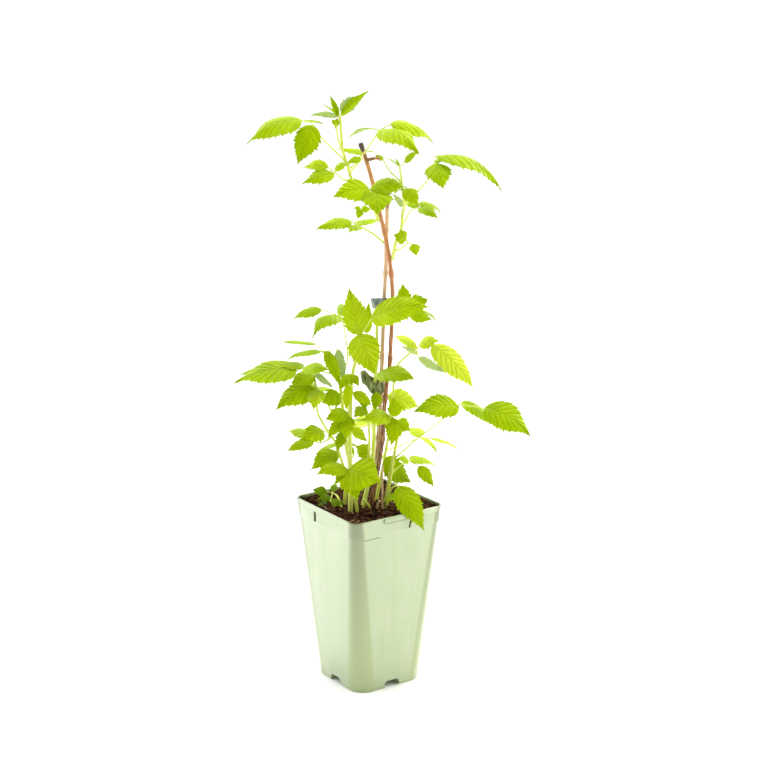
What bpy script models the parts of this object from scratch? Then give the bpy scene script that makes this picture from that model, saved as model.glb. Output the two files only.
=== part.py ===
"""A raspberry bush in a square two-litre nursery pot.

Two woody canes, held by two soft ties, carry green shoots near their tops.
Younger shoots rise from the soil round them.
Metres, +Z up, with the origin on the floor under the middle of the pot.
"""

import math
from collections import namedtuple

import bmesh
import bpy
from mathutils import Matrix, Vector, noise

MM = 0.001
GAP = 0.3

# The pot in millimetres
POT_HEIGHT = 205.0
RIM_HALF = 60.0
RIM_CORNER = 9.0
RIM_BEAD = 2.4
RIM_EASE = 0.5
BEAD_STEP = 0.7
LIP_DEPTH = 1.6
COLLAR_LOW = 185.0
COLLAR_HALF = 57.8
COLLAR_STEP = 1.2
FOOT_HALF = 44.4
FOOT_CORNER = 19.0
FOOT_EASE = 1.0
FOOT_FLOOR = 1.8
FLOOR_TOP = 10.0
WALL = 1.4
ARCH_WIDTH = 20.0
ARCH_HEIGHT = 8.0
CENTRE_PAD_HALF = 9.0
DRAIN_RADIUS = 4.0
DRAIN_PLACE = 26.0
CORNER_STEPS = 3

# The peat and what stands in it
SOIL_TOP = 197.0
ROOT_DEPTH = 26.0
CANE_ROOT_DEPTH = 34.0
STRAIGHT_FOOT = 4.0
CANE_RADIUS = 2.1
CANE_STEP = 15.0
CANE_TAPER = 0.0003
JOINT_SPACING = 46.0
JOINT_SWELL = 0.22
TWIG_RADIUS = 1.2
STUB_RADIUS = 1.6
STUB_RADII = (1.5, 1.0)

# Stems, petioles and leaflets
STEM_STEP = 24.0
PETIOLE_STEP = 20.0
PETIOLE_RADII = (1.2, 1.0)
STALK_RADII = (1.0, 0.9)
STALK_SUNK = 1.5
BLADE_THICKNESS = 0.8
TOOTH_LENGTHS = (18.0, 44.0, 75.0)
TOOTH_TIP = 0.78
TOOTH_WIDTH_AT = 0.6
NOTCH_REACH = 0.92

# The soft ties
STRAP_THICKNESS = 1.2
STRAP_STEPS = 8
STRAP_TUCK = 2.0
LIFT_FROM = 5.0
LIFT_RUN = 10.0

# The pot stands turned by this angle to the plant's own axes (across, toward, up)
PLANT_TURN = math.radians(-34.9)
ACROSS = Vector((math.cos(PLANT_TURN), math.sin(PLANT_TURN), 0.0))
TOWARD = Vector((math.sin(PLANT_TURN), -math.cos(PLANT_TURN), 0.0))
UP = Vector((0.0, 0.0, 1.0))

# A blade runs from its start to its tip. Its upper side faces up at face 0 and toward at face 90.
# Arch is the rib's rise as a share of the length, and fold is how far each half hangs, in degrees.
Blade = namedtuple("Blade", "tip width face arch fold start", defaults=(0.12, 14, None))
Leaf = namedtuple("Leaf", "petiole blades")
Shoot = namedtuple("Shoot", "name route radii leaves rooted")

# Every place below is (across, toward, up) in millimetres
CANE_FRONT = [
    (2, 4, 197), (5, 4, 216), (10, 4, 241), (15, 4, 276), (17, 4, 310), (20, 4, 340), (23, 4, 361),
    (24, 3, 383), (25, 3, 402), (26, 3, 434), (25, 3, 454), (23, 3, 474), (19, 3, 498), (16, 4, 511),
    (12, 5, 528), (8, 5, 545), (4, 5, 562), (-2, 5, 583), (-8, 5, 601),
]
CANE_BACK = [
    (3, -6, 197), (6, -6, 215), (9, -5, 250), (12, -4, 296), (14, -4, 342), (15, -3, 375),
    (16, -3, 401), (17, -3, 433), (18, -3, 452), (19, -3, 474), (19, -3, 496), (20, -3, 518),
    (20, -3, 534), (21, -3, 548),
]
DRY_TWIG = [(15, 12, 197), (15, 12, 222), (15, 12, 250)]
CANE_STUB = [(-2, 5, 583), (8, 6, 585), (13, 7, 585)]
GREEN_STUB = [(2, 15, 197), (0, 17, 205), (-6, 20, 213)]
DRY_STUB = [(9, 15, 197), (10, 16, 205), (12, 18, 211)]

SHOOTS = [
    Shoot(
        "shoot_top_left",
        [(10, 7, 522), (4, 10, 537), (-5, 12, 548), (-13, 12, 557), (-17, 12, 563), (-22, 12, 579),
         (-25, 11, 589), (-27, 10, 596), (-28, 8, 610), (-29, 8, 628)],
        (2.0, 1.3),
        [
            Leaf([(-24, 12, 582), (-36, 18, 596), (-49, 22, 610), (-50, 24, 618)], [
                Blade((-124, 30, 603), 36, 7, 0.16, 26, (-68, 24, 627)),
                Blade((-72, 38, 583), 30, 50, 0.10, 12),
                Blade((-69, -14, 621), 26, 0, 0.10, 22),
            ]),
            Leaf([(-18, 12, 563), (-25, 18, 564), (-34, 24, 573)], [
                Blade((-68, 36, 563), 26, 25, 0.14, 16),
                Blade((-67, 10, 573), 20, 12, 0.22, 20),
                Blade((-26, 0, 579), 18, 20),
            ]),
            Leaf([(-29, 8, 627)], [
                Blade((2, 14, 658), 28, -10, 0.04, -42),
                Blade((-40, 2, 651), 10, 70, 0.03, -40),
                Blade((-60, 8, 630), 12, 40, 0.08, 6),
                Blade((-48, -10, 640), 7, 20, 0.04, -30),
            ]),
            Leaf([(-22, 12, 579), (-14, 15, 585), (-5, 16, 591), (9, 14, 611), (11, 12, 615)], [
                Blade((66, -6, 602), 32, 8, 0.20, 24, (23, 8, 621)),
                Blade((51, 40, 596), 34, 15, 0.20, 18),
                Blade((-20, -10, 603), 26, -12, 0.20, 8),
            ]),
            Leaf([(-20, 12, 571), (-12, 0, 577), (-5, -9, 584), (-2, -14, 589)], [
                Blade((-34, -14, 592), 20, -4, 0.06, 8),
                Blade((8, -26, 585), 12, 0, 0.10, 10),
            ]),
            Leaf([(-22, 12, 577), (-18, 18, 577)], [Blade((-6, 26, 583), 11, 35, 0.10, 10)]),
            Leaf([(4, 10, 537), (4, 20, 546), (2, 30, 556)], [
                Blade((-32, 44, 548), 30, 55, 0.12, 6),
                Blade((41, 28, 558), 30, 25, 0.14, 16),
                Blade((10, 58, 536), 34, 45, 0.12, 8),
            ]),
            Leaf([(5, 10, 535), (0, 16, 531), (-7, 20, 533)], [
                Blade((-16, 22, 535), 8, 40, 0.10, 8),
                Blade((0, 15, 534), 7, 60, 0.10, 8),
                Blade((-11, 27, 526), 8, 60, 0.10, 8),
            ]),
        ],
        False,
    ),
    Shoot(
        "shoot_top_right",
        [(26.1, 4, 478), (27.5, 6, 487), (30, 8, 498), (35, 9, 510), (36, 9, 525), (38, 9, 536),
         (36, 9, 552), (35, 8, 564), (33, 7, 577)],
        (2.0, 1.1),
        [
            Leaf([(38, 9, 535), (51, -2, 547), (67, -16, 563), (70, -20, 578)], [
                Blade((141, -16, 548), 40, -8, 0.17, 26),
                Blade((76, 14, 555), 32, 40, 0.10, 10),
                Blade((60, -52, 573), 30, 5, 0.10, 16),
            ]),
            Leaf([(36, 9, 514), (40, 0, 519), (45, -8, 527), (52, -12, 529)], [
                Blade((78, -34, 516), 22, 10, 0.18, 16),
                Blade((73, 8, 521), 18, 15, 0.14, 14),
                Blade((38, -30, 535), 16, 10),
            ]),
            Leaf([(37, 9, 548), (40, 13, 553)], [
                Blade((52, 25, 538), 21, 60, 0.14, 8),
                Blade((27, -8, 544), 12, 10),
            ]),
            Leaf([(29, 6, 485), (36, 14, 491), (42, 18, 497)], [
                Blade((24, 24, 505), 16, 60, 0.12, 8),
                Blade((48, 30, 487), 14, 60, 0.12, 8),
                Blade((40, 2, 508), 12, 20),
            ]),
            Leaf([(33, 7, 576)], [
                Blade((53, 16, 594), 14, 50, 0.08, 8),
                Blade((14, -8, 583), 12, -6, 0.12, 10),
                Blade((31, -10, 591), 8, 20),
            ]),
        ],
        False,
    ),
    Shoot(
        "leaf_mid_left",
        [(16.4, -4.2, 493), (6, -9, 501), (-7, -12, 508), (-12, -12, 511)],
        (1.3, 0.9),
        [
            Leaf([(-11, -12, 510)], [
                Blade((-57, -4, 507), 28, 2, 0.18, 24, (-16, -12, 515)),
                Blade((-20, 10, 506), 16, 30),
                Blade((14, -50, 505), 24, -10, 0.12, 10),
            ]),
        ],
        False,
    ),
    Shoot(
        "shoot_front",
        [(-20, 18, 197), (-19, 19, 223), (-20, 18, 257), (-20, 17, 291), (-19, 16, 324), (-17, 14, 352),
         (-12, 13, 374), (-9, 14, 395)],
        (2.2, 1.3),
        [
            Leaf([(-9, 14, 394)], [
                Blade((66, 34, 434), 40, 42, 0.08, 8, (3, 18, 414)),
                Blade((-20, 6, 448), 29, 80, 0.05, 6),
                Blade((8, 48, 360), 39, 55, 0.12, 8),
            ]),
            Leaf([(-19, 17, 305), (-22, 22, 312)], [
                Blade((-47, 34, 307), 20, 50, 0.10, 8),
                Blade((-25, 42, 290), 17, 45, 0.12, 8),
            ]),
            Leaf([(-18, 15, 330), (-16, 18, 334)], [Blade((4, 24, 320), 14, 40, 0.10, 10)]),
            Leaf([(-17, 14, 348), (-17, 19, 354)], [
                Blade((-31, 33, 340), 14, 50, 0.10, 8),
                Blade((-3, 28, 340), 14, 50, 0.10, 8),
            ]),
        ],
        True,
    ),
    Shoot(
        "shoot_left",
        [(-20, 1, 197), (-20, 4, 225), (-21, 6, 251), (-25, 6, 276), (-28, 5, 310), (-30, 4, 332),
         (-34, 3, 352), (-40, 2, 368), (-50, 2, 375)],
        (2.4, 1.2),
        [
            Leaf([(-49, 2, 374)], [
                Blade((-91, 20, 370), 24, -4, 0.14, 8),
                Blade((-101, -30, 377), 22, -6, 0.10, 8, (-57, -8, 379)),
                Blade((-25, 32, 379), 34, 18, 0.08, 26),
            ]),
            Leaf([(-31, 4, 338), (-23, -6, 363), (-25, -8, 391), (-29, -4, 412)], [
                Blade((-81, -4, 410), 24, 20, 0.15, 12, (-50, -8, 419)),
                Blade((-60, 30, 395), 28, 10, 0.24, 20),
                Blade((-18, -46, 410), 26, 5, 0.10, 12),
            ]),
            Leaf([(-33, 4, 348), (-50, 14, 356), (-70, 24, 362)], [
                Blade((-143, 34, 348), 42, 20, 0.06, 8, (-76, 26, 359)),
                Blade((-115, -8, 359), 26, 0, 0.08, 10),
                Blade((-44, 40, 362), 22, 30, 0.10, 10),
            ]),
            Leaf([(-28, 5, 326), (-30, 8, 328)], [Blade((-51, 18, 321), 22, 60, 0.10, 8)]),
            Leaf([(-25, 6, 276), (-33, 8, 266)], [Blade((-62, 22, 246), 28, 40, 0.14, 8)]),
            Leaf([(-26, 6, 286), (-26, 12, 289)], [Blade((-35, 27, 268), 13, 60, 0.10, 8)]),
            Leaf([(-21, 6, 252), (-16, 1, 258)], [Blade((-30, -20, 270), 15, 30, 0.10, 8)]),
        ],
        True,
    ),
    Shoot(
        "shoot_far_left",
        [(-27, -7, 197), (-25, -4, 228), (-30, 2, 253), (-36, 6, 274), (-43, 10, 286), (-49, 13, 297),
         (-55, 16, 311), (-56, 16, 333), (-58, 10, 346)],
        (2.0, 1.1),
        [
            Leaf([(-56, 16, 325), (-54, 16, 336)], [
                Blade((-102, 34, 317), 36, 40, 0.10, 8),
                Blade((-96, -14, 322), 28, 8, 0.10, 12),
                Blade((-58, 50, 322), 20, 30, 0.10, 10),
            ]),
            Leaf([(-57, 14, 340), (-58, 8, 350)], [
                Blade((-84, 20, 344), 22, 40, 0.10, 10),
                Blade((-66, -26, 352), 22, 10, 0.10, 12),
                Blade((-38, 22, 339), 18, -50, 0.10, 8),
            ]),
            Leaf([(-43, 10, 286), (-48, 22, 291)], [Blade((-74, 40, 288), 20, 50, 0.12, 8)]),
            Leaf([(-40, 8, 281), (-50, 12, 275), (-59, 14, 277)], [
                Blade((-89, 26, 268), 14, 30, 0.12, 10),
                Blade((-87, -12, 281), 20, 20, 0.10, 10),
            ]),
        ],
        True,
    ),
    Shoot(
        "shoot_middle",
        [(-7, 3, 197), (-3, 6, 215), (3, 8, 240), (5, 8, 260), (6, 6, 288), (6, 3, 312), (6, 2, 332),
         (8, 1, 350), (10, 2, 371), (9, 0, 393), (10, -7, 404), (17, -14, 411), (29, -20, 415),
         (40, -24, 413)],
        (2.0, 1.1),
        [
            Leaf([(39, -24, 413)], [
                Blade((37, -30, 441), 20, 80, 0.06, 8),
                Blade((66, -14, 425), 24, 70, 0.10, 8),
                Blade((77, -42, 392), 18, -6, 0.20, 10),
            ]),
            Leaf([(8, 2, 347), (10, 11, 353)], [Blade((51, 38, 352), 30, 30, 0.10, 10)]),
            Leaf([(4, 8, 250), (2, 4, 259)], [Blade((-14, -6, 266), 18, 60, 0.10, 8)]),
        ],
        True,
    ),
    Shoot(
        "shoot_middle_short",
        [(-6, 12, 197), (-2, 14, 220), (0, 14, 250), (1, 15, 280), (0, 16, 301), (-3, 17, 317)],
        (1.6, 0.9),
        [
            Leaf([(-3, 17, 316)], [
                Blade((-16, 34, 309), 15, 50, 0.12, 8),
                Blade((-8, -2, 326), 13, 10, 0.12, 8),
            ]),
        ],
        True,
    ),
    Shoot(
        "shoot_right",
        [(18, -4, 197), (21, -2, 215), (26, 1, 247), (30, 6, 271), (32, 12, 287), (28, 15, 301),
         (22, 17, 308)],
        (1.9, 1.1),
        [
            Leaf([(23, 17, 307)], [
                Blade((24, 36, 279), 22, 60, 0.10, 8),
                Blade((-8, 42, 309), 20, 50, 0.10, 8),
                Blade((17, 15, 330), 17, 85, 0.06, 6),
            ]),
            Leaf([(27, 2, 253), (38, 6, 264), (56, 8, 281), (78, 10, 299), (97, 12, 309)], [
                Blade((174, 24, 283), 42, 40, 0.12, 8, (125, 14, 314)),
                Blade((48, 32, 316), 30, 25, 0.12, 12),
                Blade((139, -22, 283), 26, 2, 0.10, 14),
            ]),
            Leaf([(24, 0, 236), (34, -4, 243), (45, -8, 248)], [
                Blade((71, 4, 222), 20, 40, 0.12, 10),
                Blade((74, -34, 233), 18, 20, 0.14, 10),
                Blade((33, 14, 259), 14, 40),
            ]),
            Leaf([(22, -1, 225), (21, -9, 243)], [Blade((50, -20, 224), 32, 65, 0.10, 6)]),
        ],
        True,
    ),
    Shoot(
        "shoot_back",
        [(8, -22, 197), (15, -26, 232), (21, -30, 265), (26, -30, 294), (27, -28, 323), (30, -26, 349),
         (43, -25, 364), (53, -25, 372)],
        (1.9, 1.1),
        [
            Leaf([(52, -25, 371)], [
                Blade((111, -14, 336), 36, 12, 0.25, 16, (57, -24, 377)),
                Blade((28, -60, 376), 24, -42, 0.12, 6),
                Blade((82, 16, 358), 26, -42, 0.10, 6),
            ]),
            Leaf([(26, -29, 305), (24, -30, 314)], [
                Blade((54, -34, 303), 22, 50, 0.12, 8),
                Blade((14, -62, 306), 24, 10, 0.12, 12),
            ]),
            Leaf([(20, -29, 254), (35, -42, 255), (58, -58, 260)], [
                Blade((104, -70, 239), 18, 0, 0.10, 12, (69, -60, 258)),
                Blade((77, -24, 250), 16, -10, 0.12, 10),
                Blade((47, -88, 262), 18, 15),
            ]),
            Leaf([(17, -27, 243), (8, -44, 262), (2, -56, 276)], [
                Blade((-10, -98, 262), 32, 5, 0.16, 14, (-1, -64, 280)),
                Blade((32, -78, 262), 28, 5, 0.12, 12),
                Blade((-30, -66, 268), 28, 5, 0.12, 12),
            ]),
        ],
        True,
    ),
    Shoot(
        "shoot_back_left",
        [(-13, -24, 197), (-21, -32, 242), (-34, -38, 280), (-47, -42, 306), (-56, -46, 318)],
        (1.9, 1.1),
        [
            Leaf([(-55, -46, 317)], [
                Blade((-94, -82, 306), 32, 8, 0.14, 14, (-62, -52, 321)),
                Blade((-48, -88, 304), 28, 8, 0.12, 12),
                Blade((-84, -30, 330), 26, 8, 0.10, 12),
            ]),
            Leaf([(-24, -34, 252), (-28, -48, 256), (-30, -58, 252)], [
                Blade((-58, -76, 236), 24, 8, 0.12, 12),
                Blade((-14, -86, 238), 24, 8, 0.12, 12),
            ]),
        ],
        True,
    ),
    Shoot(
        "shoot_low",
        [(-12, 25, 197), (-15, 28, 222), (-20, 30, 245), (-22, 31, 252)],
        (2.0, 1.3),
        [
            Leaf([(-22, 31, 251)], [
                Blade((13, 56, 247), 38, 55, 0.10, 8),
                Blade((-13, 58, 226), 27, 50, 0.12, 8),
                Blade((-56, 44, 248), 24, 35, 0.12, 10),
                Blade((-37, 42, 236), 13, 50, 0.10, 8),
            ]),
        ],
        True,
    ),
    Shoot(
        "leaf_over_rim",
        [(20, 8, 197), (21, 12, 212), (25, 19, 225), (31, 26, 231)],
        (1.5, 1.0),
        [
            Leaf([(30, 25, 231)], [Blade((61, 46, 186), 28, 55, 0.20, 8)]),
            Leaf([(21, 12, 211), (21, 17, 216)], [Blade((30, 33, 216), 12, 60, 0.10, 8)]),
        ],
        True,
    ),
    Shoot(
        "leaf_near_soil",
        [(-29, 9, 197), (-32, 0, 205), (-36, -10, 208), (-41, -18, 208)],
        (1.2, 0.9),
        [
            Leaf([(-40, -17, 208)], [
                Blade((-66, -25, 211), 15, 20, 0.10, 8),
                Blade((-39, -36, 215), 10, 40, 0.10, 8),
                Blade((-60, -4, 205), 12, 25, 0.12, 8),
                Blade((-48, 6, 204), 12, 25, 0.12, 8),
            ]),
        ],
        True,
    ),
]


def clear_scene():
    for old in list(bpy.data.objects):
        bpy.data.objects.remove(old)


def finish(name, colour, roughness):
    material = bpy.data.materials.new(name)
    material.use_nodes = True
    shader = material.node_tree.nodes["Principled BSDF"]
    shader.inputs["Base Color"].default_value = (*colour, 1.0)
    shader.inputs["Roughness"].default_value = roughness
    shader.inputs["Metallic"].default_value = 0.0
    return material


def place(point):
    """Turns (across, toward, up) in millimetres into the pot's own axes in metres."""
    across, toward, up = point
    return (ACROSS * across + TOWARD * toward + UP * up) * MM


def add_object(name, mesh, material=None):
    piece = bpy.data.objects.new(name, mesh)
    bpy.context.scene.collection.objects.link(piece)
    if material:
        set_material(piece, material)
    return piece


def set_material(piece, material):
    piece.data.materials.clear()
    piece.data.materials.append(material)


def mesh_from(work, name):
    mesh = bpy.data.meshes.new(name)
    work.to_mesh(mesh)
    work.free()
    return mesh


def evaluated_mesh(piece):
    bpy.context.view_layer.update()
    return bpy.data.meshes.new_from_object(piece.evaluated_get(bpy.context.evaluated_depsgraph_get()))


def combine(piece, others, operation, solver="EXACT"):
    """Joins or cuts a piece with a whole collection at once, then removes the collection."""
    group = bpy.data.collections.new("group")
    bpy.context.scene.collection.children.link(group)
    for other in others:
        group.objects.link(other)
    boolean = piece.modifiers.new("combine", "BOOLEAN")
    boolean.operation = operation
    boolean.operand_type = "COLLECTION"
    boolean.collection = group
    boolean.solver = solver
    mesh = evaluated_mesh(piece)
    piece.modifiers.clear()
    piece.data = mesh
    for other in others:
        bpy.data.objects.remove(other)
    bpy.data.collections.remove(group)
    keep_outer_body(piece)


def connected_faces(work):
    """The mesh's separate skins, each a list of faces, the largest first."""
    unseen = set(work.faces)
    bodies = []
    while unseen:
        start = unseen.pop()
        body, queue = [start], [start]
        while queue:
            for edge in queue.pop().edges:
                for face in edge.link_faces:
                    if face in unseen:
                        unseen.remove(face)
                        body.append(face)
                        queue.append(face)
        bodies.append(body)
    return sorted(bodies, key=lambda body: sum(face.calc_area() for face in body), reverse=True)


def keep_outer_body(piece):
    """Fills a sealed hollow and drops loose scraps: only the largest closed skin stays."""
    work = bmesh.new()
    work.from_mesh(piece.data)
    for body in connected_faces(work)[1:]:
        bmesh.ops.delete(work, geom=body, context="FACES")
    loose = [vertex for vertex in work.verts if not vertex.link_faces]
    bmesh.ops.delete(work, geom=loose, context="VERTS")
    bmesh.ops.triangulate(work, faces=work.faces)
    work.to_mesh(piece.data)
    work.free()


def smooth_route(points, step):
    """Reads a smooth curve through hand-set points, about one reading for each step of length."""
    knots = [Vector(point) for point in points]
    knots = [2 * knots[0] - knots[1]] + knots + [2 * knots[-1] - knots[-2]]
    route = []
    for a, b, c, d in zip(knots, knots[1:], knots[2:], knots[3:]):
        count = max(1, round((c - b).length / step))
        for i in range(count):
            t = i / count
            route.append(0.5 * (2 * b + (c - a) * t + (2 * a - 5 * b + 4 * c - d) * t ** 2
                                + (3 * b - a - 3 * c + d) * t ** 3))
    return route + [knots[-2]]


def tube(name, route, radii, resolution):
    """A round bar along a route: a curve with a bevel and filled caps.

    Radii are one for each point, or the first and the last of a taper.
    """
    last = len(route) - 1
    if len(radii) != len(route):
        radii = [radii[0] + (radii[-1] - radii[0]) * i / last for i in range(last + 1)]
    curve = bpy.data.curves.new(name, "CURVE")
    curve.dimensions = "3D"
    curve.bevel_depth = MM
    curve.bevel_resolution = resolution
    curve.use_fill_caps = True
    spline = curve.splines.new("POLY")
    spline.points.add(last)
    for point, where, radius in zip(spline.points, route, radii):
        point.co = (*place(where), 1.0)
        point.radius = radius
    piece = add_object(name, curve)
    mesh = evaluated_mesh(piece)
    bpy.data.objects.remove(piece)
    work = bmesh.new()
    work.from_mesh(mesh)
    bmesh.ops.remove_doubles(work, verts=work.verts, dist=0.01 * MM)
    return add_object(name, mesh_from(work, name))


def half_width(u):
    """The blade's outline: rounded at its base, widest before the middle, drawn out to its tip."""
    if u <= 0.0 or u >= 1.0:
        return 0.0
    return math.sin(math.pi * u ** 0.66) ** (0.6 + 0.7 * u)


def blade_frame(start, tip, face):
    along = (tip - start).normalized()
    turn = math.radians(face)
    normal = Vector((0.0, math.sin(turn), math.cos(turn)))
    normal = (normal - along * normal.dot(along)).normalized()
    return along, normal, normal.cross(along)


def blade_point(blade, start, u, side, reach):
    """A point at u along the rib, on a side (-1, 0, 1), reaching out by a share, and its own up."""
    tip = Vector(blade.tip)
    length = (tip - start).length
    along, normal, sideways = blade_frame(start, tip, blade.face)
    rise = 4.0 * blade.arch * u * (1.0 - u) * length
    slope = math.atan(4.0 * blade.arch * (1.0 - 2.0 * u))
    local_up = normal * math.cos(slope) - along * math.sin(slope)
    out = 0.5 * blade.width * reach
    fold = math.radians(blade.fold)
    rib = start + along * (u * length) + normal * rise
    return rib + sideways * (side * out * math.cos(fold)) - local_up * (out * math.sin(fold)), local_up


def tooth_count(length):
    """Teeth on each side of a leaflet."""
    return 2 + sum(length > limit for limit in TOOTH_LENGTHS)


def leaflet(blade, start):
    """One toothed leaflet: a thin slab whose two faces are split into the same triangles."""
    teeth = tooth_count((Vector(blade.tip) - start).length)
    work = bmesh.new()

    def corner(u, side, reach):
        middle, local_up = blade_point(blade, start, u, side, reach)
        lifts = (0.5 * BLADE_THICKNESS, -0.5 * BLADE_THICKNESS)
        return [work.verts.new(place(middle + local_up * lift)) for lift in lifts]

    ribs = [corner(i / teeth, 0, 0.0) for i in range(teeth + 1)]
    for side in (-1, 1):
        notches = [corner(i / teeth, side, NOTCH_REACH * half_width(i / teeth)) for i in range(1, teeth)]
        notches = [ribs[0]] + notches + [ribs[-1]]
        for i in range(teeth):
            tip = corner((i + TOOTH_TIP) / teeth, side, half_width((i + TOOTH_WIDTH_AT) / teeth))
            tooth_faces(work, ribs[i:i + 2], notches[i:i + 2], tip)
    bmesh.ops.recalc_face_normals(work, faces=work.faces)
    return add_object("leaflet", mesh_from(work, "leaflet"))


def tooth_faces(work, ribs, notches, tip):
    """One tooth's share of both faces, from the rib to its tip, and its share of the edge."""
    cells = [(ribs[0], notches[0], tip), (ribs[0], tip, ribs[1]), (ribs[1], tip, notches[1])]
    for cell in cells:
        if cell[0] is not cell[1] and cell[1] is not cell[2] and cell[2] is not cell[0]:
            for layer in (0, 1):
                work.faces.new([pair[layer] for pair in cell])
    for a, b in ((notches[0], tip), (tip, notches[1])):
        work.faces.new((a[0], a[1], b[1]))
        work.faces.new((a[0], b[1], b[0]))


def nearest(route, point):
    """The place on a stem's middle line that lies closest to a point."""
    places = []
    for a, b in zip(route, route[1:]):
        share = (point - a).dot(b - a) / (b - a).length_squared
        places.append(a.lerp(b, min(1.0, max(0.0, share))))
    return min(places, key=lambda where: (where - point).length)


def leaf_pieces(leaf, stem):
    """A petiole sunk into its stem, its leaflets, and the stalk of each leaflet set apart."""
    points = [Vector(point) for point in leaf.petiole]
    pieces = []
    if len(points) > 1:
        points[0] = nearest(stem, points[0])
        pieces.append(tube("petiole", smooth_route(points, PETIOLE_STEP), PETIOLE_RADII, 0))
    for blade in leaf.blades:
        start = Vector(blade.start) if blade.start else points[-1]
        if blade.start:
            share = STALK_SUNK / (Vector(blade.tip) - start).length
            sunk = blade_point(blade, start, share, 0, 0.0)[0]
            pieces.append(tube("stalk", [points[-1], start, sunk], STALK_RADII, 0))
        pieces.append(leaflet(blade, start))
    return pieces


def rooted_route(route, depth):
    """A stem's route with a straight foot down in the peat."""
    foot = route[0]
    return [foot - UP * depth, foot, foot + UP * STRAIGHT_FOOT] + route[1:]


def leafy_shoot(shoot, material):
    """A green stem with all its leaves, joined as one body.

    EXACT leaves open edges where many thin blades meet, so MANIFOLD joins them.
    """
    route = smooth_route(shoot.route, STEM_STEP)
    if shoot.rooted:
        route = rooted_route(route, ROOT_DEPTH)
    stem = tube(shoot.name, route, shoot.radii, 1)
    pieces = [piece for leaf in shoot.leaves for piece in leaf_pieces(leaf, route)]
    combine(stem, pieces, "UNION", "MANIFOLD")
    set_material(stem, material)
    return stem


def cane(name, points, radius, material, stub=None):
    """A woody cane: a bar that swells a little at each joint, with its cut top end."""
    route = rooted_route(smooth_route(points, CANE_STEP), CANE_ROOT_DEPTH)
    radii = []
    for where in route:
        above = where.z - SOIL_TOP
        swell = max(0.0, math.cos(2.0 * math.pi * where.z / JOINT_SPACING)) ** 6
        swell = JOINT_SWELL * swell if above > JOINT_SPACING / 4 else 0.0
        radii.append(radius * (1.0 - CANE_TAPER * above + swell))
    piece = tube(name, route, radii, 1)
    if stub:
        combine(piece, [tube("stub", stub, STUB_RADII, 1)], "UNION")
    set_material(piece, material)
    return piece


def ring(work, half, corner, height):
    """One level of the pot: a square with round corners, at a height or on a surface."""
    loop = []
    for quarter in range(4):
        middle = math.radians(45 + 90 * quarter)
        centre_x = math.copysign(half - corner, math.cos(middle))
        centre_y = math.copysign(half - corner, math.sin(middle))
        for i in range(CORNER_STEPS + 1):
            angle = math.radians(90 * quarter + 90 * i / CORNER_STEPS)
            x = centre_x + corner * math.cos(angle)
            y = centre_y + corner * math.sin(angle)
            z = height(x, y) if callable(height) else height
            loop.append(work.verts.new((x * MM, y * MM, z * MM)))
    return loop


def bridge(work, lower, upper):
    for i in range(len(lower)):
        j = (i + 1) % len(lower)
        work.faces.new((lower[i], lower[j], upper[j], upper[i]))


def lofted(name, levels):
    """A closed body through levels of (height, half width, corner radius), lowest first."""
    work = bmesh.new()
    loops = [ring(work, half, corner, height) for height, half, corner in levels]
    for lower, upper in zip(loops, loops[1:]):
        bridge(work, lower, upper)
    work.faces.new(loops[0][::-1])
    work.faces.new(loops[-1])
    bmesh.ops.triangulate(work, faces=work.faces, quad_method="FIXED")
    return add_object(name, mesh_from(work, name))


def wall_half(height):
    """Half the outside width of the tapering body at a height."""
    return FOOT_HALF + (COLLAR_HALF - FOOT_HALF) * height / COLLAR_LOW


def wall_corner(height):
    return FOOT_CORNER + (RIM_CORNER - FOOT_CORNER) * height / POT_HEIGHT


def outer_levels():
    """The pot's outside: the body, the small step to the collar, and the rim's bead."""
    levels = [(0.0, FOOT_HALF - FOOT_EASE, FOOT_CORNER - FOOT_EASE)]
    for height in (1.5 * FOOT_EASE, 60.0, 125.0, COLLAR_LOW):
        levels.append((height, wall_half(height), wall_corner(height)))
    bead_low = POT_HEIGHT - RIM_BEAD
    step = COLLAR_STEP
    levels += [
        (COLLAR_LOW + step, wall_half(COLLAR_LOW) + step, wall_corner(COLLAR_LOW) + step),
        (bead_low - BEAD_STEP, RIM_HALF - BEAD_STEP, RIM_CORNER),
        (bead_low, RIM_HALF, RIM_CORNER + BEAD_STEP),
        (POT_HEIGHT - RIM_EASE, RIM_HALF, RIM_CORNER + BEAD_STEP),
        (POT_HEIGHT, RIM_HALF - RIM_EASE, RIM_CORNER + BEAD_STEP - RIM_EASE),
    ]
    return levels


def cavity_levels(gap, top):
    """The inside of the pot up to a height; with a gap, smaller all round and raised by it."""
    levels = []
    for height in (FLOOR_TOP, 60.0, 125.0, COLLAR_LOW):
        levels.append((height + gap, wall_half(height) - WALL - gap, wall_corner(height) - WALL))
    low = COLLAR_LOW + 1.6 * COLLAR_STEP
    step_half = wall_half(COLLAR_LOW) + COLLAR_STEP - WALL - gap
    step_corner = wall_corner(COLLAR_LOW) - WALL
    levels.append((low + gap, step_half, step_corner))
    rise = (top - gap - low) / (POT_HEIGHT - low)
    rim_half = step_half + (RIM_HALF - BEAD_STEP - WALL - gap - step_half) * rise
    rim_corner = step_corner + (RIM_CORNER - BEAD_STEP - WALL - step_corner) * rise
    return levels + [(top, rim_half, rim_corner)]


def box(name, low, high, lean=0.0):
    """A box between two corners in millimetres, whose sides can lean along X as they rise."""
    bpy.ops.mesh.primitive_cube_add(size=1.0)
    piece = bpy.context.object
    piece.name = name
    centre = (Vector(low) + Vector(high)) * 0.5 * MM
    size = (Vector(high) - Vector(low)) * MM
    for vertex in piece.data.vertices:
        point = vertex.co * size
        point.x += point.z * math.tan(lean)
        vertex.co = point + centre
    return piece


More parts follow.
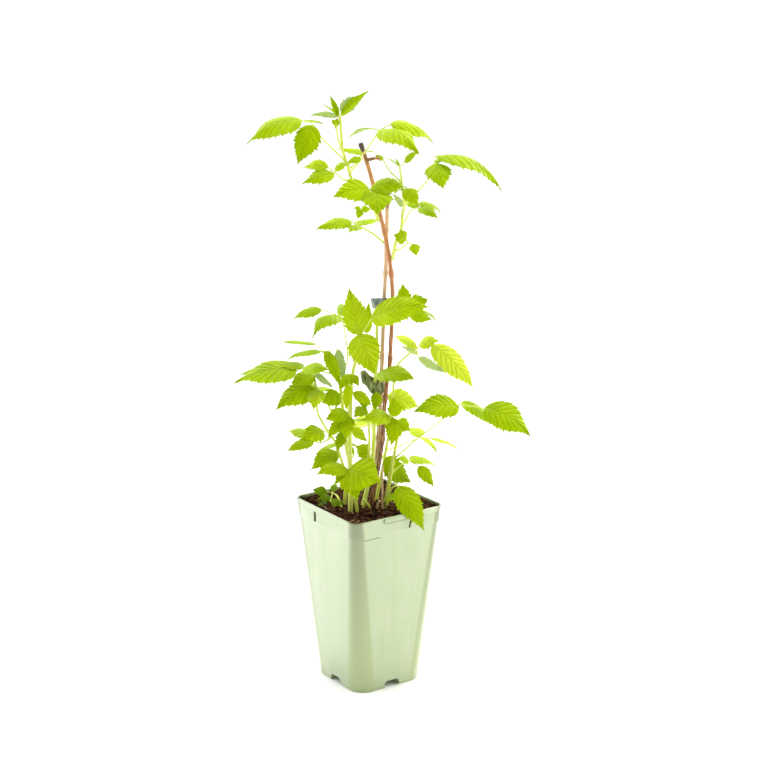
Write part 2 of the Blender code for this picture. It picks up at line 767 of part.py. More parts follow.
def side_box(name, side, along, deep, up, lean=0.0):
    """A box on the face at Y = side: along it, in depth from it, and up, in millimetres.

    The opposite face gets the same box turned half round.
    """
    x = sorted(side * value for value in along)
    y = sorted(side * (RIM_HALF + value) for value in deep)
    return box(name, (x[0], y[0], up[0]), (x[1], y[1], up[1]), side * lean)


def quarter_turn(quarter):
    return Matrix.Rotation(math.radians(90 * quarter), 3, "Z")


def arch_outline():
    """The opening between two feet, seen from the side: straight legs and round shoulders."""
    radius = ARCH_HEIGHT * 0.6
    outline = [(-ARCH_WIDTH / 2, -1.0), (ARCH_WIDTH / 2, -1.0)]
    for side in (1, -1):
        for i in range(4):
            angle = math.radians(30 * i if side > 0 else 90 - 30 * i)
            outline.append((side * (ARCH_WIDTH / 2 - radius + radius * math.cos(angle)),
                            ARCH_HEIGHT - radius + radius * math.sin(angle)))
    return outline


def arch_cutters():
    """The four arched gaps between the feet, which leave the pad in the middle standing."""
    cutters = []
    for quarter in range(4):
        work = bmesh.new()
        loops = []
        for reach in (CENTRE_PAD_HALF, FOOT_HALF + 6.0):
            loops.append([work.verts.new((x * MM, -reach * MM, z * MM)) for x, z in arch_outline()])
        work.faces.new(loops[0])
        work.faces.new(loops[1][::-1])
        bridge(work, loops[1], loops[0])
        bmesh.ops.recalc_face_normals(work, faces=work.faces)
        bmesh.ops.rotate(work, verts=work.verts, cent=(0, 0, 0), matrix=quarter_turn(quarter))
        cutters.append(add_object("arch", mesh_from(work, "arch")))
    return cutters


def drain_cutters():
    cutters = []
    for quarter in range(4):
        centre = quarter_turn(quarter) @ Vector((DRAIN_PLACE, 0.0, FLOOR_TOP)) * MM
        bpy.ops.mesh.primitive_cylinder_add(
            vertices=8, radius=DRAIN_RADIUS * MM, depth=2 * FLOOR_TOP * MM, location=centre)
        cutters.append(bpy.context.object)
    return cutters


def foot_hollows(gap):
    """The hollow of each foot: the floor dips down in the four corners."""
    hollows = []
    low, high = ARCH_WIDTH / 2 + WALL + gap, FOOT_HALF - WALL - 2 * GAP - gap
    middle = 0.5 * (low + high) * MM
    for side_x in (-1, 1):
        for side_y in (-1, 1):
            x = sorted((side_x * low, side_x * high))
            y = sorted((side_y * low, side_y * high))
            hollow = box("hollow", (x[0], y[0], FOOT_FLOOR + gap), (x[1], y[1], FLOOR_TOP + 1.0))
            work = bmesh.new()
            work.from_mesh(hollow.data)
            upright = [edge for edge in work.edges
                       if all(min(abs(end.co.x), abs(end.co.y)) > middle for end in edge.verts)]
            bmesh.ops.bevel(work, geom=upright, offset=(FOOT_CORNER - WALL) * MM, segments=CORNER_STEPS,
                            profile=0.5, affect="EDGES")
            work.to_mesh(hollow.data)
            work.free()
            hollows.append(hollow)
    return hollows


def label_cutters():
    """Two opposite faces have a leaning label slot and a shallow recess beside it.

    The other two have a narrow upright slot.
    """
    cutters = []
    lean = math.radians(-12)
    for side in (-1, 1):
        cutters.append(side_box("slot", side, (-15.4, -13.0), (-4.0, 4.0), (187.5, 199.0), lean))
        cutters.append(side_box("recess", side, (-35.0, -17.5), (-0.9, 4.0), (187.5, 198.0)))
        narrow = side_box("narrow", side, (-17.4, -15.0), (-4.0, 4.0), (190.0, 201.0))
        narrow.data.transform(quarter_turn(3).to_4x4())
        cutters.append(narrow)
    return cutters


def pot(material):
    """A thin square tub with a collar, a beaded rim and four hollow feet."""
    body = lofted("pot", outer_levels())
    lips = [side_box("lip", side, (-35.0, 20.0), (-1.0, LIP_DEPTH), (POT_HEIGHT - 3.2, POT_HEIGHT - 0.4))
            for side in (-1, 1)]
    combine(body, lips, "UNION")
    cutters = [lofted("cavity", cavity_levels(0.0, POT_HEIGHT + 2.0))]
    cutters += foot_hollows(0.0) + arch_cutters() + drain_cutters() + label_cutters()
    combine(body, cutters, "DIFFERENCE")
    set_material(body, material)
    return body


def soil_height(x, y):
    """The uneven top of the peat, a little higher round the stems."""
    coarse = 1.3 * noise.noise(Vector((x / 9.0, y / 9.0, 3.0)))
    fine = 0.7 * noise.noise(Vector((x / 3.5, y / 3.5, 7.0)))
    mound = 1.6 * math.exp(-(x * x + y * y) / 30.0 ** 2)
    return SOIL_TOP - 1.0 + coarse + fine + mound


def soil(material, feet):
    """Peat that fills the pot, with a plain hole for each stem that stands in it."""
    levels = cavity_levels(GAP, SOIL_TOP - 4.0)
    work = bmesh.new()
    loops = [ring(work, half, corner, height) for height, half, corner in levels]
    top_half, top_corner = levels[-1][1:]
    for share in (1.0, 0.74, 0.48, 0.22):
        loops.append(ring(work, top_half * share, top_corner * share + 8.0 * (1.0 - share), soil_height))
    for lower, upper in zip(loops, loops[1:]):
        bridge(work, lower, upper)
    work.faces.new(loops[0][::-1])
    work.faces.new(loops[-1])
    bmesh.ops.triangulate(work, faces=work.faces, quad_method="FIXED")
    body = add_object("soil", mesh_from(work, "soil"))
    combine(body, foot_hollows(GAP), "UNION")
    holes = []
    for foot, radius, depth in feet:
        low, high = SOIL_TOP - depth - GAP, SOIL_TOP + 10.0
        bpy.ops.mesh.primitive_cylinder_add(
            vertices=6, radius=(radius + 3.0 * GAP) * MM, depth=(high - low) * MM,
            location=place((foot[0], foot[1], 0.5 * (low + high))))
        holes.append(bpy.context.object)
    combine(body, holes, "DIFFERENCE")
    set_material(body, material)
    return body


def strap_loop(name, ends, radius, lowest, height, slant, lift, material):
    """A flat soft strap: a loop with round ends in plan, whose left end can be pulled up."""
    left, right = ends
    work = bmesh.new()
    loops = []
    for level, spread in ((0.0, -1.0), (height, -1.0), (height, 1.0), (0.0, 1.0)):
        loop = []
        for end, start in ((right, -90), (left, 90)):
            for i in range(STRAP_STEPS + 1):
                angle = math.radians(start + 180 * i / STRAP_STEPS)
                tuck = STRAP_TUCK * (1.0 - level / height) if end is left else 0.0
                reach = radius + spread * 0.5 * STRAP_THICKNESS
                across = end[0] + tuck + reach * math.cos(angle)
                toward = end[1] + reach * math.sin(angle)
                pull = min(1.0, max(0.0, (LIFT_FROM - across) / LIFT_RUN))
                up = lowest + level - slant * toward + lift * pull * pull * (3.0 - 2.0 * pull)
                loop.append(work.verts.new(place((across, toward, up))))
        loops.append(loop)
    for lower, upper in zip(loops, loops[1:] + loops[:1]):
        bridge(work, lower, upper)
    bmesh.ops.recalc_face_normals(work, faces=work.faces)
    return add_object(name, mesh_from(work, name), material)


def shade(piece):
    """Round skins are shaded smooth up to their real edges."""
    piece.data.shade_smooth()
    piece.data.set_sharp_from_angle(angle=math.radians(38))


def main():
    clear_scene()
    leaf_green = finish("young_leaf", (0.30, 0.52, 0.02), 0.5)
    red_bark = finish("cane_bark", (0.25, 0.11, 0.05), 0.7)
    pale_bark = finish("cane_bark_pale", (0.46, 0.30, 0.19), 0.7)
    dry_wood = finish("dry_stem", (0.60, 0.45, 0.28), 0.8)
    strap = finish("tie_strap", (0.12, 0.14, 0.12), 0.6)
    plastic = finish("pot_plastic", (0.66, 0.76, 0.55), 0.4)
    peat = finish("peat", (0.03, 0.018, 0.012), 0.95)

    feet = []
    woody = (("cane_front", CANE_FRONT, CANE_RADIUS, red_bark, CANE_STUB),
             ("cane_back", CANE_BACK, CANE_RADIUS, pale_bark, None),
             ("dry_twig", DRY_TWIG, TWIG_RADIUS, dry_wood, None),
             ("dry_stub", DRY_STUB, STUB_RADIUS, dry_wood, None),
             ("green_stub", GREEN_STUB, STUB_RADIUS, leaf_green, None))
    for name, points, radius, material, stub in woody:
        shade(cane(name, points, radius, material, stub))
        feet.append((points[0], radius, CANE_ROOT_DEPTH))
    for shoot in SHOOTS:
        shade(leafy_shoot(shoot, leaf_green))
        if shoot.rooted:
            feet.append((shoot.route[0], shoot.radii[0], ROOT_DEPTH))
    shade(strap_loop("tie_upper", ((10, 0.5), (22.8, 0.5)), 7.0, 422, 11.0, -0.27, 0.0, strap))
    shade(strap_loop("tie_lower", ((1, -3.8), (7.6, -3.8)), 9.5, 328, 12.5, 0.0, 10.0, strap))
    shade(soil(peat, feet))
    shade(pot(plastic))


main()
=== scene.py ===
"""Dresses the potted raspberry bush: toothed and veined leaves, bark, peat, soft ties and a moulded pot."""

import math
import random
from collections import namedtuple

import bmesh
import bpy
from mathutils import Euler, Matrix, Vector, noise


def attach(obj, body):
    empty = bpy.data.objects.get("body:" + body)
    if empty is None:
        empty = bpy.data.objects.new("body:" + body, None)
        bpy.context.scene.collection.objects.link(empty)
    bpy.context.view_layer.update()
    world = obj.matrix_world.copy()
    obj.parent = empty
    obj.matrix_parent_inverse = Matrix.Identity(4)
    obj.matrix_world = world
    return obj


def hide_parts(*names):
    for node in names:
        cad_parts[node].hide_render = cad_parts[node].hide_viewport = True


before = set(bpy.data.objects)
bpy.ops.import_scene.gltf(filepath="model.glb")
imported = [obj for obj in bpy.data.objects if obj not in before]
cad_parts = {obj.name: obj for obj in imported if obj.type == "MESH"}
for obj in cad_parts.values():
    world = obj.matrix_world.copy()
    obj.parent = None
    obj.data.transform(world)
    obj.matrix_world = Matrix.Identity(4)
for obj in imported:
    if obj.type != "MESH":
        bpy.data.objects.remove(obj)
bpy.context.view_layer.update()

# The offsets of noise_vector come from the clock unless a seed is set, and each run gives the same shapes
noise.seed_set(11)

MM = 0.001

# The pot in millimetres
POT_HEIGHT = 205.0
RIM_HALF = 60.0
RIM_CORNER = 9.7
BEAD_HEIGHT = 2.4
BEAD_STEP = 0.7
COLLAR_LOW = 185.0
COLLAR_HALF = 57.8
COLLAR_STEP = 1.2
FOOT_HALF = 44.4
FOOT_CORNER = 19.0
FLOOR_TOP = 10.0
WALL = 1.4
CORNER_STEPS = 10
ARCH_WIDTH = 20.0
ARCH_HEIGHT = 8.0
CENTRE_PAD_HALF = 9.0
DRAIN_RADIUS = 4.0
DRAIN_PLACE = 26.0
# The lip on the label sides: its place along the side, its depth from the rim, and its height
LIP = ((-50.0, 20.8), (-1.0, 1.6), (POT_HEIGHT - 5.4, POT_HEIGHT - 0.3))
LIP_EDGE = 0.45
# Cuts on two opposite sides, each along, in depth and in height, with its lean in degrees and the
# quarter turns that take it to the other two sides
POT_CUTS = (
    # A shallow groove in the lip's lower edge, and a crease where the collar starts
    ((-12.0, 19.0), (-1.5, 4.0), (198.1, 199.5), 0.0, 0),
    ((25.0, 46.0), (-3.62, 4.0), (183.5, 184.2), 0.0, 0),
    # The leaning label slot and the recess beside it
    ((-15.4, -13.0), (-4.0, 4.0), (187.5, 199.0), -12.0, 0),
    ((-35.0, -17.5), (-0.9, 4.0), (187.5, 198.0), 0.0, 0),
    # The narrow upright slot
    ((15.8, 20.0), (-4.0, 4.0), (187.0, 198.4), 0.0, 3),
)

# The peat, with its section inside the pot as (height, half width, corner) under its top, and the bits
# on it as (how many, sizes)
PEAT_TOP = 197.0
PEAT_HALF = 57.9
PEAT_RISE = 5.2
PEAT_CORNER = 8.0
PEAT_CELLS = 130
PEAT_LEVELS = ((187.6, 57.7, 8.5), (186.6, 56.3, 8.5), (10.3, 43.6, 17.0))
SMALL_LUMPS = (900, (0.9, 3.0))
LARGE_LUMPS = (90, (3.0, 6.0))
RED_CHIPS = (130, (4.0, 11.0))
OLD_CHIPS = (40, (3.0, 8.0))
STRAWS = 80

# Leaves: one side vein and its tooth every few millimetres, rows of faces between two veins, the depth of
# teeth, swellings and waves as shares of the width, and how far each leaf differs in twist, bow and tone
VEIN_SPACING = 6.2
MOST_VEINS = 10
FEWEST_VEINS = 4
ROWS = 8
VEIN_LEAN = 0.42
COLUMNS = (0.09, 0.32, 0.58, 0.82, 1.0)
TOOTH_DEPTH = 0.12
DEEPEST_TOOTH = 3.4
TOOTH_EDGE = (0.0, 0.95, 0.8, 0.6, 0.34, 0.72, 0.52, 0.28)
QUILT = 0.034
WAVE = 0.03
TWIST = 14.0
BOW = 0.02
LEAF_TONE_SPREAD = 0.1
BLADE_TONE_SPREAD = 0.06
LEAF_THICKNESS = 0.36
VEIN_MAP = "veins"

# Stalks and stems: first and last radii, the swelling where a petiole leaves its stem, the hairs, and
# how far a stem goes on below the peat's top
PETIOLE_RADII = (0.95, 0.7)
PETIOLE_FOOT = (1.7, 1.15)
STALK_RADII = (0.7, 0.5)
RIB_RADII = (0.5, 0.14)
RIB_READINGS = 10
HAIR_SPACING = 0.9
HAIR_LENGTH = (0.7, 1.3)
ROOT_DEPTH = 12.0

# Canes: a swelling at each joint, and bark that is ribbed by a noise
JOINT_SPACING = 46.0
FRONT_RADIUS = 2.45
BACK_RADIUS = 2.4

# The camera looks along this direction, and the plant's own axes are turned with it
VIEW_TURN = math.radians(-34.9)
VIEW_RISE = math.radians(15.3)
VIEW_DISTANCE = 2.2
VIEW_TARGET = (12.5, 0.0, 342.4)
LENS = 96.25
# Each softbox: its place (across, toward, up) and its size in metres, its power and its tint
SOFTBOXES = {
    "left_softbox": ((-1.8, -0.2, 0.9), 1.3, 8.0, "#EEF4FF"),
    "right_softbox": ((1.9, 0.1, 0.8), 1.3, 14.0, "#FFFBEE"),
    "top_softbox": ((0.0, 0.1, 2.3), 1.1, 17.0, "#FFFFFF"),
    "back_left_softbox": ((-1.1, -1.4, 1.5), 1.2, 16.0, "#F2F6FF"),
    "back_right_softbox": ((1.3, -1.3, 1.5), 1.2, 28.0, "#FFFEFA"),
}
SOFTBOX_AIM = 0.3
FLOOR_RADIUS = 14.0
ACROSS = Vector((math.cos(VIEW_TURN), math.sin(VIEW_TURN), 0.0))
TOWARD = Vector((math.sin(VIEW_TURN), -math.cos(VIEW_TURN), 0.0))
UP = Vector((0.0, 0.0, 1.0))

# A blade runs from its start to its tip. Its upper side faces up at face 0 and toward at face 90.
# Arch is the rib's rise as a share of the length, and fold is how far each half hangs, in degrees.
Blade = namedtuple("Blade", "tip width face arch fold start bend", defaults=(0.12, 14, None, 0.0))
Leaf = namedtuple("Leaf", "petiole blades")
Shoot = namedtuple("Shoot", "name route radii leaves rooted")

# Every place below is (across, toward, up) in millimetres
CANE_FRONT = [
    (2, 4, 197), (5, 4, 216), (10, 4, 241), (15, 4, 276), (17, 4, 310), (20, 4, 340), (23, 4, 361),
    (24, 3, 383), (25, 3, 402), (26, 3, 434), (25, 3, 454), (23, 3, 474), (19, 3, 498), (16, 4, 511),
    (12, 5, 528), (8, 5, 545), (4, 5, 562), (-2, 5, 583), (-8, 5, 601),
]
CANE_BACK = [
    (3, -6, 197), (6, -6, 215), (9, -5, 250), (12, -4, 296), (14, -4, 342), (15, -3, 375),
    (16, -3, 401), (17, -3, 433), (18, -3, 452), (19, -3, 474), (19, -3, 496), (20, -3, 518),
    (20, -3, 534), (21, -3, 548),
]
DRY_TWIG = [(15, 12, 197), (15, 12, 222), (15, 12, 250)]
CANE_STUB = [(-2, 5, 583), (8, 6, 585), (13, 7, 585)]
GREEN_STUB = [(2, 15, 197), (0, 17, 205), (-6, 20, 213)]
DRY_STUB = [(9, 15, 197), (10, 16, 205), (12, 18, 211)]

# Each shoot: its name, whether it stands in the peat, its first and last radius, its route, and its
# leaves, each of which is a petiole's route and its blades
SHOOT_ROWS = [
    ("shoot_top_left", False, (2.0, 1.3), [(10, 7, 522), (4, 10, 537), (-5, 12, 548), (-13, 12, 557),
     (-17, 12, 563), (-22, 12, 579), (-25, 11, 589), (-27, 10, 596), (-28, 8, 610), (-29, 8, 628)], [
        ([(-24, 12, 582), (-36, 18, 596), (-49, 22, 610), (-58, 24, 625)], [
          ((-125, 30, 603), 40, 24, 0.17, 18, (-68, 24, 627)),
          ((-73, 38, 583), 31, 60, 0.1, 10, (-56, 28, 623)),
          ((-46, 6, 620), 18, -4, 0.1, 10, (-67, 20, 626))]),
        ([(-18, 12, 563), (-25, 18, 564), (-34, 24, 573)], [
          ((-69, 36, 562), 23, 38, 0.12, 14, (-35, 24, 572)),
          ((-68, 10, 575), 16, 45, 0.2, 10, (-41, 24, 578)),
          ((-23, 0, 580), 10, 50, 0.12, 14, (-34, 24, 574))]),
        ([(-29, 8, 627)], [((3, 14, 658), 12, 45, 0.03, -10, (-28, 8, 630)),
          ((-40, 2, 651), 9, 70, 0.03, -40, (-31, 8, 629)), ((-61, 8, 630), 10, -50, 0.08, 6, (-31, 8, 629)),
          ((-49, -10, 640), 4, 20, 0.04, -30), ((-6, 9, 652), 19, -55, 0.02, -12, (-28, 4, 632)),
          ((-34, 10, 616), 7, 60, 0.1, 8, (-32, 8, 627))]),
        ([(-22, 12, 579), (-14, 15, 585), (-5, 16, 591), (9, 14, 611), (11, 12, 615)], [
          ((68, -6, 599), 31, 25, 0.18, 20, (23, 8, 621)), ((53, 40, 593), 42, 15, 0.2, 18),
          ((-21, -10, 603), 16, -12, 0.14, 8, (10, 12, 616))]),
        ([(-20, 12, 571), (-12, 0, 577), (-5, -9, 584), (-2, -14, 589)], [
          ((-34, -14, 592), 13, 22, 0.03, 8, (-3, -14, 587)), ((8, -26, 585), 13, 0, 0.1, 10)]),
        ([(-22, 12, 577), (-18, 18, 577)], [((-22, 26, 583), 10, 45, 0.08, 10, (-7, 18, 587))]),
        ([(4, 10, 537), (4, 20, 546), (2, 30, 556)], [((-37, 44, 550), 30, 55, 0.12, 6, None, 0.04),
          ((41, 28, 557), 31, 32, 0.14, 16, None, -0.05), ((10, 58, 534), 36, 45, 0.12, 8, (9, 32, 555))]),
        ([(5, 10, 535), (0, 16, 531), (-7, 20, 533)], [((-15, 22, 535), 9, 40, 0.1, 8),
          ((2, 15, 533), 9, 60, 0.1, 8), ((-11, 27, 524), 9, 60, 0.1, 8)]),
        ([(-27, 10, 590), (-31, 16, 606), (-33, 14, 622)], [((-38, 14, 627), 6, 50, 0.05, 8)]),
    ]),
    ("shoot_top_right", False, (2.0, 1.1), [(26.1, 4, 478), (27.5, 6, 487), (30, 8, 498), (35, 9, 510),
     (36, 9, 525), (38, 9, 536), (36, 9, 552), (35, 8, 564), (33, 7, 577)], [
        ([(38, 9, 535), (51, -2, 547), (67, -16, 563), (70, -20, 575)], [
          ((141, -16, 546), 47, 4, 0.2, 22, (71, -20, 583)), ((79, 14, 553), 32, 40, 0.1, 10, (71, -16, 576)),
          ((85, -52, 574), 9, 5, 0.1, 16)]),
        ([(36, 9, 514), (40, 0, 519), (45, -8, 527), (52, -12, 529)], [
          ((78, -34, 517), 19, 24, 0.2, 10, (54, -12, 531)), ((74, 8, 520), 18, 28, 0.14, 10, (54, -12, 529)),
          ((38, -30, 535), 18, 10)]),
        ([(37, 9, 548), (40, 13, 553)], [((53, 25, 537), 19, 60, 0.14, 8, (39, 13, 554)),
          ((27, -8, 544), 13, 10), ((25, -4, 545), 17, -45, 0.06, 8, (38, 6, 534))]),
        ([(29, 6, 485), (36, 14, 491), (42, 18, 497)], [((26, 24, 507), 16, 60, 0.12, 8, (40, 18, 500)),
          ((51, 30, 485), 13, 60, 0.12, 8, (47, 18, 496)), ((33, 16, 511), 11, 50, 0.12, 14, (40, 14, 501))]),
        ([(33, 7, 576)], [((54, 16, 594), 10, 50, 0.08, 6, (38, 7, 581)), ((14, -8, 583), 4, -6, 0.12, 10),
          ((28, -10, 582), 3, 20)]),
        ([(30, 9, 559), (23, 4, 571), (16, 0, 582)], [((7, -4, 587), 8, 40, 0.08, 8)]),
    ]),
    ("leaf_mid_left", False, (1.3, 0.9), [(16.4, -4.2, 493), (6, -9, 501), (-7, -12, 508), (-12, -12, 511)], [
        ([(-11, -12, 510)], [((-57, -4, 506), 24, 26, 0.1, 14, (-17, -12, 514)), ((-20, 10, 506), 18, 30),
          ((14, -50, 505), 27, -10, 0.12, 10)]),
    ]),
    ("shoot_front", True, (2.9, 1.7), [(-20, 18, 197), (-19, 19, 223), (-20, 18, 257), (-20, 17, 291),
     (-19, 16, 324), (-17, 14, 352), (-12, 13, 374), (-9, 14, 395)], [
        ([(-9, 14, 394)], [((67, 34, 431), 40, 42, 0.08, 8, (3, 18, 415), -0.06),
          ((-21, 6, 447), 31, 80, 0.05, 6, (-10, 14, 396)),
          ((8, 48, 359), 38, 55, 0.12, 8, (-10, 14, 397), 0.03),
          ((1, -10, 428), 14, 35, 0.05, 6, (-2, -6, 393))]),
        ([(-19, 17, 305), (-22, 22, 312)], [((-47, 34, 307), 22, 50, 0.1, 8),
          ((-24, 42, 286), 19, 45, 0.12, 8, (-22, 22, 309)),
          ((-24, 38, 318), 12, 60, 0.08, 10, (-21, 34, 347)),
          ((-44, 34, 287), 16, 50, 0.1, 10, (-27, 26, 304))]),
        ([(-18, 15, 330), (-16, 18, 334)], [((4, 24, 320), 16, 40, 0.1, 10)]),
        ([(-17, 14, 348), (-17, 19, 354)], [((-31, 33, 340), 16, 50, 0.1, 8),
          ((-10, 28, 342), 10, 50, 0.1, 8)]),
    ]),
    ("shoot_left", True, (3.1, 1.6), [(-20, 1, 197), (-20, 4, 225), (-21, 6, 251), (-25, 6, 276),
     (-28, 5, 310), (-30, 4, 332), (-34, 3, 352), (-40, 2, 368), (-50, 2, 375)], [
        ([(-49, 2, 374)], [((-90, 20, 369), 16, 10, 0.07, 8, (-51, 2, 375)),
          ((-102, -30, 377), 13, 6, 0.03, 8, (-57, -8, 380)),
          ((-29, 24, 339), 16, 50, 0.08, 14, (-46, 6, 377)),
          ((-25, 20, 343), 13, 215, 0.06, 14, (-33, 4, 378))]),
        ([(-31, 4, 338), (-23, -6, 363), (-25, -8, 391), (-29, -4, 412)], [
          ((-82, -4, 409), 18, 30, 0.08, 8, (-50, -8, 419)), ((-60, 30, 395), 30, 10, 0.24, 20),
          ((-30, -46, 416), 12, 5, 0.1, 12)]),
        ([(-33, 4, 348), (-50, 14, 356), (-70, 24, 362)], [
          ((-144, 34, 347), 43, 20, 0.06, 8, (-76, 26, 360), 0.07), ((-115, -8, 359), 29, 0, 0.08, 10),
          ((-41, 40, 364), 22, 30, 0.1, 10), ((-141, 0, 347), 19, 40, 0.08, 8, (-87, 24, 361))]),
        ([(-28, 5, 326), (-30, 8, 328)], [((-51, 18, 321), 24, 60, 0.1, 8)]),
        ([(-25, 6, 276), (-33, 8, 266)], [((-63, 22, 246), 27, 40, 0.14, 8, (-33, 8, 263), 0.04)]),
        ([(-26, 6, 286), (-26, 12, 289)], [((-35, 27, 268), 14, 60, 0.1, 8)]),
        ([(-21, 6, 252), (-16, 1, 258)], [((-30, -20, 270), 9, 30, 0.1, 8)]),
    ]),
    ("shoot_far_left", True, (2.0, 1.1), [(-27, -7, 197), (-25, -4, 228), (-30, 2, 253), (-36, 6, 274),
     (-43, 10, 286), (-49, 13, 297), (-55, 16, 311), (-56, 16, 333), (-58, 10, 346)], [
        ([(-56, 16, 325), (-54, 16, 336)], [((-100, 34, 317), 33, 40, 0.1, 8, (-55, 16, 336), 0.06),
          ((-96, -14, 322), 31, 8, 0.1, 12), ((-58, 50, 322), 22, 30, 0.1, 10)]),
        ([(-57, 14, 340), (-58, 8, 350)], [((-84, 20, 344), 24, 40, 0.1, 10),
          ((-66, -26, 352), 24, 10, 0.1, 12), ((-38, 22, 339), 20, -50, 0.1, 8)]),
        ([(-43, 10, 286), (-48, 22, 291)], [((-73, 40, 287), 26, 50, 0.12, 8)]),
        ([(-40, 8, 281), (-50, 12, 275), (-59, 14, 277)], [((-89, 26, 268), 19, 30, 0.12, 10),
          ((-89, -12, 281), 22, 20, 0.1, 10, (-60, 14, 282))]),
    ]),
    ("shoot_middle", True, (2.6, 1.4), [(-7, 3, 197), (-3, 6, 215), (3, 8, 240), (5, 8, 260), (6, 6, 288),
     (6, 3, 312), (6, 2, 332), (8, 1, 350), (10, 2, 371), (9, 0, 393), (10, -7, 404), (17, -14, 411),
     (29, -20, 415), (40, -24, 413)], [
        ([(39, -24, 413)], [((37, -30, 443), 18, 80, 0.06, 8, (40, -24, 420)),
          ((65, -14, 429), 24, 70, 0.1, 8, (46, -24, 419)), ((77, -42, 392), 20, -6, 0.2, 10),
          ((69, -10, 407), 18, 60, 0.1, 6, (43, -4, 416))]),
        ([(8, 2, 347), (10, 11, 353)], [((51, 38, 352), 33, 30, 0.1, 10)]),
        ([(4, 8, 250), (2, 4, 259)], [((-14, -6, 266), 20, 60, 0.1, 8)]),
    ]),
    ("shoot_middle_short", True, (2.1, 1.2), [(-6, 12, 197), (-2, 14, 220), (0, 14, 250), (1, 15, 280),
     (0, 16, 301), (-3, 17, 317)], [
        ([(-3, 17, 316)], [((-16, 34, 309), 17, 50, 0.12, 8), ((-8, -2, 326), 14, 10, 0.12, 8),
          ((7, 16, 312), 14, 60, 0.08, 8, (9, 10, 332))]),
    ]),
    ("shoot_right", True, (2.5, 1.4), [(18, -4, 197), (21, -2, 215), (26, 1, 247), (30, 6, 271),
     (32, 12, 287), (28, 15, 301), (22, 17, 308)], [
        ([(23, 17, 307)], [((24, 36, 278), 23, 60, 0.1, 8, (27, 17, 305), -0.08),
          ((-8, 42, 309), 24, 50, 0.1, 8), ((27, 15, 328), 18, 85, 0.06, 6, (30, 17, 306)),
          ((46, -2, 284), 20, 50, 0.08, 8, (30, -6, 295))]),
        ([(27, 2, 253), (38, 6, 264), (56, 8, 281), (78, 10, 299), (98, 12, 318)], [
          ((175, 24, 285), 40, 40, 0.12, 8, (125, 14, 315), -0.06),
          ((47, 32, 315), 32, 50, 0.05, 8, (98, 12, 315), 0.08),
          ((138, -10, 286), 18, 42, 0.08, 8, (100, 8, 319), -0.04)]),
        ([(24, 0, 236), (34, -4, 243), (45, -8, 248)], [((72, 4, 221), 17, 50, 0.08, 10, (55, -8, 242)),
          ((74, -34, 233), 22, 20, 0.14, 10), ((29, 14, 257), 12, 60, 0.12, 14, (44, -8, 248))]),
        ([(22, -1, 225), (21, -9, 243)], [((48, -20, 219), 28, 65, 0.1, 6, (18, -9, 252), 0.08)]),
    ]),
    ("shoot_back", True, (1.9, 1.1), [(8, -22, 197), (15, -26, 232), (21, -30, 265), (26, -30, 294),
     (27, -28, 323), (30, -26, 349), (43, -25, 364), (53, -25, 372)], [
        ([(52, -25, 371)], [((115, -14, 328), 33, 40, 0.16, 10, (69, -24, 375)),
          ((28, -60, 376), 13, 40, 0.12, 6), ((84, 0, 350), 19, -60, 0.04, 6, (54, -22, 361)),
          ((34, -40, 370), 11, -60, 0.05, 8, (54, -24, 365)),
          ((78, -20, 381), 20, 40, 0.14, 10, (55, -24, 375))]),
        ([(26, -29, 305), (24, -30, 314)], [((56, -34, 302), 30, 50, 0.12, 8, (21, -30, 315)),
          ((14, -62, 306), 7, 10, 0.12, 12)]),
        ([(20, -29, 254), (35, -42, 255), (58, -58, 260)], [((104, -70, 239), 20, 0, 0.1, 12, (69, -60, 258)),
          ((77, -24, 250), 11, -10, 0.12, 10), ((47, -88, 262), 20, 15)]),
        ([(17, -27, 243), (8, -44, 262), (2, -56, 276)], [((-10, -98, 262), 36, 5, 0.16, 14, (-1, -64, 280)),
          ((32, -78, 262), 31, 5, 0.12, 12), ((-30, -66, 268), 31, 5, 0.12, 12),
          ((-1, -6, 270), 14, 50, 0.08, 8, (-18, -8, 286))]),
    ]),
    ("shoot_back_left", True, (1.9, 1.1), [(-13, -24, 197), (-21, -32, 242), (-34, -38, 280), (-47, -42, 306),
     (-56, -46, 318)], [
        ([(-55, -46, 317)], [((-94, -82, 306), 36, 8, 0.14, 14, (-62, -52, 321)),
          ((-48, -88, 304), 31, 8, 0.12, 12), ((-84, -30, 330), 29, 8, 0.1, 12)]),
        ([(-24, -34, 252), (-28, -48, 256), (-30, -58, 252)], [((-58, -76, 236), 27, 8, 0.12, 12),
          ((-14, -86, 238), 27, 8, 0.12, 12)]),
    ]),
    ("shoot_low", True, (2.0, 1.3), [(-12, 25, 197), (-15, 28, 222), (-20, 30, 245), (-22, 31, 252)], [
        ([(-22, 31, 251)], [((14, 56, 244), 48, 55, 0.1, 8), ((-12, 58, 224), 33, 50, 0.12, 8),
          ((-57, 44, 248), 24, 35, 0.12, 10, None, 0.05), ((-37, 42, 236), 14, 50, 0.1, 8)]),
    ]),
    ("leaf_over_rim", True, (1.5, 1.0), [(20, 8, 197), (21, 12, 212), (25, 19, 225), (31, 26, 231)], [
        ([(30, 25, 231)], [((61, 46, 185), 31, 55, 0.2, 8, (32, 25, 230))]),
        ([(21, 12, 211), (21, 17, 216)], [((30, 33, 216), 13, 60, 0.1, 8)]),
    ]),
    ("leaf_near_soil", True, (1.2, 0.9), [(-29, 9, 197), (-32, 0, 205), (-36, -10, 208), (-41, -18, 208)], [
        ([(-40, -17, 208)], [((-63, -25, 209), 12, 60, 0.1, 8, (-46, -17, 209)),
          ((-37, -36, 213), 9, 60, 0.1, 8, (-40, -17, 209)),
          ((-58, -4, 204), 10, 60, 0.12, 8, (-42, -17, 203)),
          ((-61, 6, 195), 12, 60, 0.12, 8, (-44, -17, 195)),
